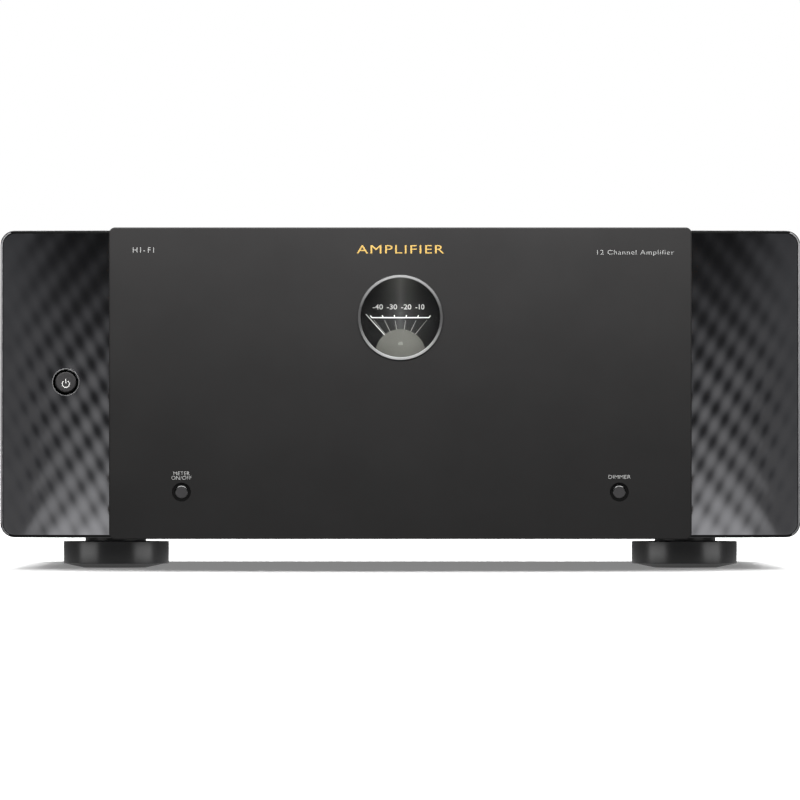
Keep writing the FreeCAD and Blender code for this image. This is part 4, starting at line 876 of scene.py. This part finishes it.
UNIT_HEIGHT = 1.7 * MM
UNIT_DROP = 14.3 * MM


def bar_between(start, end, half, y, depth):
    """Vertices and faces of a thin flat bar between two places on the dial."""
    along = (end - start).normalized()
    side = Vector((-along.y, along.x)) * half
    verts = []
    for point in (start - side, start + side, end + side, end - side):
        verts.append(Vector((point.x, y, point.y)))
    verts += [v + Vector((0, depth, 0)) for v in verts]
    faces = [(0, 1, 2, 3), (7, 6, 5, 4), (0, 4, 5, 1), (1, 5, 6, 2), (2, 6, 7, 3), (3, 7, 4, 0)]
    return verts, faces


def make_dial_printing():
    """Scale line with six ticks, radial hairlines, numbers and a unit."""
    low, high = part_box("meter_dial")
    centre = Vector(((low.x + high.x) / 2, (low.z + high.z) / 2))
    joint = next(j for j in frame["joints"] if j["name"] == "needle_swing")
    pivot = Vector((joint["pos_m"][0], joint["pos_m"][2]))
    front = low.y - DIAL_LIFT
    line_z = centre.y - LINE_DROP
    left = Vector((FIRST_TICK - LINE_EXTRA, line_z))
    right = Vector((FIRST_TICK + TICK_PITCH * (TICKS - 1) + LINE_EXTRA, line_z))
    bars = [bar_between(left, right, LINE_HALF, front, DIAL_LIFT)]
    hair = []
    for i in range(TICKS):
        foot = Vector((FIRST_TICK + TICK_PITCH * i, line_z))
        ray = (foot - pivot).normalized()
        bars.append(bar_between(foot, foot + ray * TICK_LENGTH, TICK_HALF, front, DIAL_LIFT))
        hair.append(bar_between(pivot + ray * HAIR_START, foot - ray * HAIR_GAP, HAIR_HALF,
                                front, DIAL_LIFT))
    for name, parts, material in (("dial_scale", bars, WHITE_PRINT),
                                  ("dial_hairlines", hair, HAIR_PRINT)):
        verts, faces = joined(parts)
        add_piece(name, verts, faces, "chassis", material, smooth=False)
    for words, x, width in DIAL_NUMBERS:
        place = Vector((x * MM, low.y - DIAL_LIFT / 2, centre.y + NUMBER_RISE))
        lettering(f"dial_number{words}", words, NUMBER_HEIGHT, place, "front",
                  WHITE_PRINT, width=width * MM, weight=NUMBER_WEIGHT)
    place = Vector((0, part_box("meter_mask")[0].y - PRINT_OFFSET, centre.y - UNIT_DROP))
    lettering("dial_unit", "dB", UNIT_HEIGHT, place, "front", UNIT_PRINT)


# ------ feet

FOOT_RADIUS = 29.2 * MM
FOOT_RECESS = 27.5 * MM  # radius of the recess for the front pads
FOOT_TOP = 14.7 * MM  # height where the front feet's neck starts
NECK_RADIUS = 16.5 * MM
REAR_RADIUS = 16.2 * MM
REAR_RECESS = 14 * MM
REAR_FLARE = 9 * MM  # height up to which the rear feet widen
BOLT_RADIUS = 2 * MM
FOOT_ROUNDING = 0.4 * MM
FOOT_Y = 170 * MM
FRONT_FOOT_X = 157.5 * MM
REAR_FOOT_X = 164.5 * MM
FOOT = surface("foot_satin", (0.012, 0.012, 0.0122), 0.28, tone=0.1, tone_scale=80,
               grain_scale=900, grain_depth=FINE_GRAIN, rough_spread=0.02, stretch=(1, 1, 30),
               specular=0.22)


def make_feet():
    """Turned feet with soft edges: wide ones at the front, narrow ones at the back."""
    low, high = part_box("feet")
    pad_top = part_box("foot_pads")[1].z
    wide = [(FOOT_RECESS, pad_top), (FOOT_RECESS, low.z), (FOOT_RADIUS, low.z),
            (FOOT_RADIUS, FOOT_TOP), (NECK_RADIUS, FOOT_TOP), (NECK_RADIUS, high.z),
            (BOLT_RADIUS, high.z)]
    narrow = [(REAR_RECESS, pad_top), (REAR_RECESS, low.z), (REAR_RADIUS, low.z),
              (NECK_RADIUS, REAR_FLARE), (NECK_RADIUS, high.z), (BOLT_RADIUS, high.z)]
    front = lathe_group("front_feet", rounded(wide, FOOT_ROUNDING),
                        [Vector((x, -FOOT_Y, 0)) for x in (-FRONT_FOOT_X, FRONT_FOOT_X)], "Z",
                        "chassis", FOOT, segments=144)
    lathe_group("rear_feet", rounded(narrow, FOOT_ROUNDING),
                [Vector((x, FOOT_Y, 0)) for x in (-REAR_FOOT_X, REAR_FOOT_X)], "Z", "chassis",
                FOOT, segments=96)
    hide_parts("feet")


# ------ front printing

THIN = -0.03 * MM  # lettering drawn lighter than the font's own weight
CAPTION_HEIGHT = 2.0 * MM


def make_front_printing():
    """Generic words on the centre panel."""
    y = PANEL_FACE - PRINT_OFFSET
    lettering("front_word", "AMPLIFIER", 4.6 * MM, Vector((0, y, 175.5 * MM)), "front",
              GOLD_PRINT, spread=1.15, width=48 * MM)
    lettering("front_left_word", "HI-FI", 3.0 * MM, Vector((-141.3 * MM, y, 175.2 * MM)),
              "front", GREY_PRINT, spread=1.4, weight=THIN)
    lettering("front_right_words", "12 Channel Amplifier", 2.5 * MM,
              Vector((128.9 * MM, y, 174.0 * MM)), "front", GREY_PRINT,
              width=42.3 * MM, spread=1.13, weight=THIN)
    for name, words, node, z, width in (
            ("meter_caption", "METER\nON/OFF", "meter_button", 51.2 * MM, 11 * MM),
            ("dimmer_caption", "DIMMER", "dimmer_button", 50.5 * MM, 12.2 * MM)):
        place = Vector((round_part(node)[0].x, y, z))
        lettering(name, words, CAPTION_HEIGHT, place, "front", CAPTION_PRINT,
                  width=width, weight=THIN)


# ------ rear details

CHANNELS = [mount["pos_m"][0] for mount in MOUNTS if mount["name"].startswith("phono_input")]
# inner radius, outer radius and depth of the rings behind the sockets and the nuts
INSULATOR = (1.62 * MM, 3.3 * MM, 0.3 * MM)
PHONO_RING = (6.6 * MM, 8.0 * MM, 0.5 * MM)
NUT_RING = (7.5 * MM, 8.6 * MM, 0.7 * MM)
NUT_RING_INSET = 2.2 * MM  # from the terminal bases' ends back to the nuts' rings
SCREW_HEAD = [(0, 0.9 * MM), (1.5 * MM, 0.75 * MM), (2.1 * MM, 0.3 * MM), (2.1 * MM, 0), (0, 0)]
XLR_SCREWS = ((-9.5 * MM, 12.2 * MM), (9.5 * MM, -12.2 * MM))
NUMBER_SIZE = 3.0 * MM
NUMBER_OFFSET = 14 * MM  # how far they stand above the phono inputs
SIGN_SIZE = 3.4 * MM
SIGN_OFFSET = 16.5 * MM  # from the last channel to the plus and minus signs
CAPTION_SIZE = 2.8 * MM
SMALL_CAPTION_SIZE = 2.6 * MM
CAPTION_SPREAD = 1.05


def mount_place(name):
    """Position of a mount of the record."""
    return Vector(next(mount["pos_m"] for mount in MOUNTS if mount["name"] == name))


def at_channels(y, z):
    """One place for each channel."""
    return [Vector((x, y, z)) for x in CHANNELS]


def make_rear_details():
    """Insulators, rings, screws and printing on the back."""
    phono = mount_place("phono_input_01")
    xlr = mount_place("balanced_input_01")
    plus = mount_place("speaker_plus_01")
    minus = mount_place("speaker_minus_01")
    jack_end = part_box("rca_jacks")[1].y
    lathe_group("phono_insulators", band_profile(*INSULATOR), at_channels(jack_end, phono.z),
                "Y", "chassis", WHITE_PLASTIC, segments=40)
    lathe_group("phono_rings", band_profile(*PHONO_RING), at_channels(REAR_FACE, phono.z), "Y",
                "chassis", WHITE_PLASTIC)
    shell_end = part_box("xlr_shells")[1].y
    centres = [Vector((x + dx, shell_end, xlr.z + dz)) for x in CHANNELS for dx, dz in XLR_SCREWS]
    lathe_group("xlr_screws", SCREW_HEAD, centres, "Y", "chassis", SCREW, segments=24)
    ring_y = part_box("terminal_bases")[1].y - NUT_RING_INSET
    for name, z, material, slot in (("plus_rings", plus.z, RED_CAP, "nut_red"),
                                    ("minus_rings", minus.z, BLACK_CAP, "nut_black")):
        lathe_group(name, band_profile(*NUT_RING), at_channels(ring_y, z), "Y", "chassis",
                    material)
    make_rear_printing(phono, xlr, plus, minus)


def make_rear_printing(phono, xlr, plus, minus):
    """Channel numbers, plus and minus signs and plain captions."""
    y = REAR_FACE + PRINT_OFFSET
    middle = (CHANNELS[0] + CHANNELS[-1]) / 2
    for number, place in enumerate(at_channels(y, phono.z + NUMBER_OFFSET), start=1):
        lettering(f"channel_number_{number:02d}", str(number), NUMBER_SIZE, place, "rear",
                  WHITE_PRINT)
    for name, words, z in (("plus_signs", "+", plus.z), ("minus_signs", "–", minus.z)):
        lettering(name, words, SIGN_SIZE, Vector((CHANNELS[-1] + SIGN_OFFSET, y, z)), "rear",
                  WHITE_PRINT)
    mains_x = mount_place("mains_inlet").x
    for name, words, x, z, height in (
            ("balanced_caption", "BALANCED INPUTS", middle, xlr.z + 21 * MM, CAPTION_SIZE),
            ("unbalanced_caption", "UNBALANCED INPUTS", middle, phono.z - 13.5 * MM, CAPTION_SIZE),
            ("speaker_caption", "SPEAKERS", middle, minus.z - 17.5 * MM, CAPTION_SIZE),
            ("mains_caption", "AC IN", mains_x, 90 * MM, CAPTION_SIZE),
            ("control_caption", "CONTROL", 184 * MM, 162.5 * MM, SMALL_CAPTION_SIZE)):
        lettering(name, words, height, Vector((x, y, z)), "rear", WHITE_PRINT,
                  spread=CAPTION_SPREAD)


# ------ studio

CAMERA_DISTANCE = 9.4  # metres from the object's outer edges
CAMERA_X = -0.2 * MM
CAMERA_Z = 92.9 * MM
EDGE_INSET = 6.5 * MM  # the outer edges are this far in front of the wings' backs
SENSOR_WIDTH = 36  # millimetres
FLOOR_REACH = 30.0
SUN_POWER = 4.4
SUN_SIZE = math.radians(34)
SUN_TILT = math.radians(-43)
FOOT_STRIP_TURNS = (53, -53)  # degrees outwards from straight ahead
FOOT_STRIP_DISTANCE = 0.085
FOOT_STRIP_Z = 6 * MM
SKY_COLOUR = (0.95, 0.97, 1.0, 1)
SKY_GLOW = 0.155  # brightness of the reflected sky near the horizon
SKY_REST = 0.012  # and high up
SKY_EDGE = 0.076  # where it falls, as the upright part of the direction
SKY_SOFTNESS = 0.03  # how softly it falls


def make_camera():
    """Level, distant camera straight in front, framed so that the width fills the picture."""
    camera_data = bpy.data.cameras.new("camera")
    camera = add_object("camera", camera_data)
    edge_y = wing_high.y - EDGE_INSET
    camera.location = (CAMERA_X, edge_y - CAMERA_DISTANCE, CAMERA_Z)
    camera.rotation_euler = (math.pi / 2, 0, 0)
    camera_data.sensor_width = SENSOR_WIDTH
    camera_data.lens = camera_data.sensor_width / 2 * CAMERA_DISTANCE / wing_high.x
    camera_data.clip_start = 0.05
    camera_data.clip_end = 100
    bpy.context.scene.camera = camera


def make_floor():
    """Large pale floor."""
    mesh = bpy.data.meshes.new("floor")
    signs = ((-1, -1), (1, -1), (1, 1), (-1, 1))
    mesh.from_pydata([(x * FLOOR_REACH, y * FLOOR_REACH, 0) for x, y in signs], [], [(0, 1, 2, 3)])
    floor = add_object("floor", mesh)
    mesh.materials.append(FLOOR)


def area_light(name, place, target, size, power, lit=None, glossy=True, blockers=None):
    """Soft lamp aimed at a point, unseen by the camera, for some pieces or for all."""
    data = bpy.data.lights.new(name, "AREA")
    data.shape = "RECTANGLE"
    data.size, data.size_y = size
    data.energy = power
    lamp = add_object(name, data)
    lamp.location = place
    lamp.rotation_euler = (Vector(target) - Vector(place)).to_track_quat("-Z", "Y").to_euler()
    lamp.visible_camera = False
    lamp.visible_glossy = glossy
    if lit is not None:
        lamp.light_linking.receiver_collection = lit
    if blockers is not None:
        lamp.light_linking.blocker_collection = blockers


def collection_of(name, things):
    """Collection that only says what a lamp lights, or what casts its shadows."""
    group = bpy.data.collections.new(name)
    for thing in things:
        group.objects.link(thing)
    return group


def make_lights():
    """Broad top light, strips over the front, keys and feet, fill behind and at the sides."""
    sun = bpy.data.lights.new("top_light", "SUN")
    sun.energy = SUN_POWER
    sun.angle = SUN_SIZE
    add_object("top_light", sun).rotation_euler = (SUN_TILT, 0, 0)
    pieces = collection_of("amplifier_pieces", [o for o in bpy.data.objects if o.type == "MESH"
                                                and o.name != "floor"])
    area_light("front_strip", place=(0, -0.40, 0.37), target=(0, -0.25, 0.10),
               size=(0.75, 0.05), power=5.4, lit=pieces, glossy=False)
    area_light("rear_fill", place=(0.3, 1.8, 0.9), target=(0, 0.2, 0.1), size=(1.6, 1.0), power=18)
    keys = collection_of("keys_only", [bpy.data.objects["meter_button_cap"],
                                       bpy.data.objects["dimmer_button_cap"]])
    area_light("key_strip", place=(0, -0.57, 0.42), target=(0, -0.25, 0.04), size=(0.8, 0.1),
               power=0.7, lit=keys)
    feet = collection_of("front_feet_only", [bpy.data.objects["front_feet"]])
    for side in (-1, 1):
        for turn in FOOT_STRIP_TURNS:
            angle = math.radians(turn) * side
            foot = Vector((side * FRONT_FOOT_X, -FOOT_Y, FOOT_STRIP_Z))
            away = Vector((math.sin(angle), -math.cos(angle), 0)) * FOOT_STRIP_DISTANCE
            area_light(f"foot_strip_{side}_{turn}", place=foot + away, target=foot,
                       size=(0.055, 0.06), power=0.06, lit=feet, blockers=feet)
    floor_only = collection_of("floor_only", [bpy.data.objects["floor"]])
    for side in (-1, 1):
        area_light(f"floor_side_{side}", place=(0.6 * side, 0.42, 0.5),
                   target=(0.2 * side, -0.05, 0), size=(0.5, 0.35), power=9, lit=floor_only,
                   glossy=False)


def make_world():
    """White behind the object; its reflections see a studio that darkens above the horizon."""
    world = bpy.data.worlds.new("studio")
    bpy.context.scene.world = world
    world.use_nodes = True
    tree = world.node_tree
    tree.nodes.clear()
    tree.nodes.new("ShaderNodeOutputWorld")
    seen = tree.nodes.new("ShaderNodeBackground")
    seen.inputs["Color"].default_value = (1, 1, 1, 1)
    room = tree.nodes.new("ShaderNodeBackground")
    room.inputs["Color"].default_value = SKY_COLOUR
    height = calculate(tree, "MULTIPLY_ADD", own_place(tree, "Z", "Generated"),
                       1 / SKY_SOFTNESS, -SKY_EDGE / SKY_SOFTNESS)
    growth = calculate(tree, "EXPONENT", height)
    below = calculate(tree, "ADD", growth, 1)
    glow = calculate(tree, "DIVIDE", SKY_GLOW, below)
    strength = calculate(tree, "ADD", glow, SKY_REST)
    tree.links.new(strength, room.inputs["Strength"])
    surface_by_ray(tree, "Is Camera Ray", room, seen)


make_camera()
make_floor()
make_world()
bpy.context.scene.view_settings.view_transform = "Standard"

paint_cad_nodes()
make_wings()
make_power_button()
make_keys()
make_bezel()
make_dial_printing()
make_feet()
make_front_printing()
make_rear_details()
make_lights()
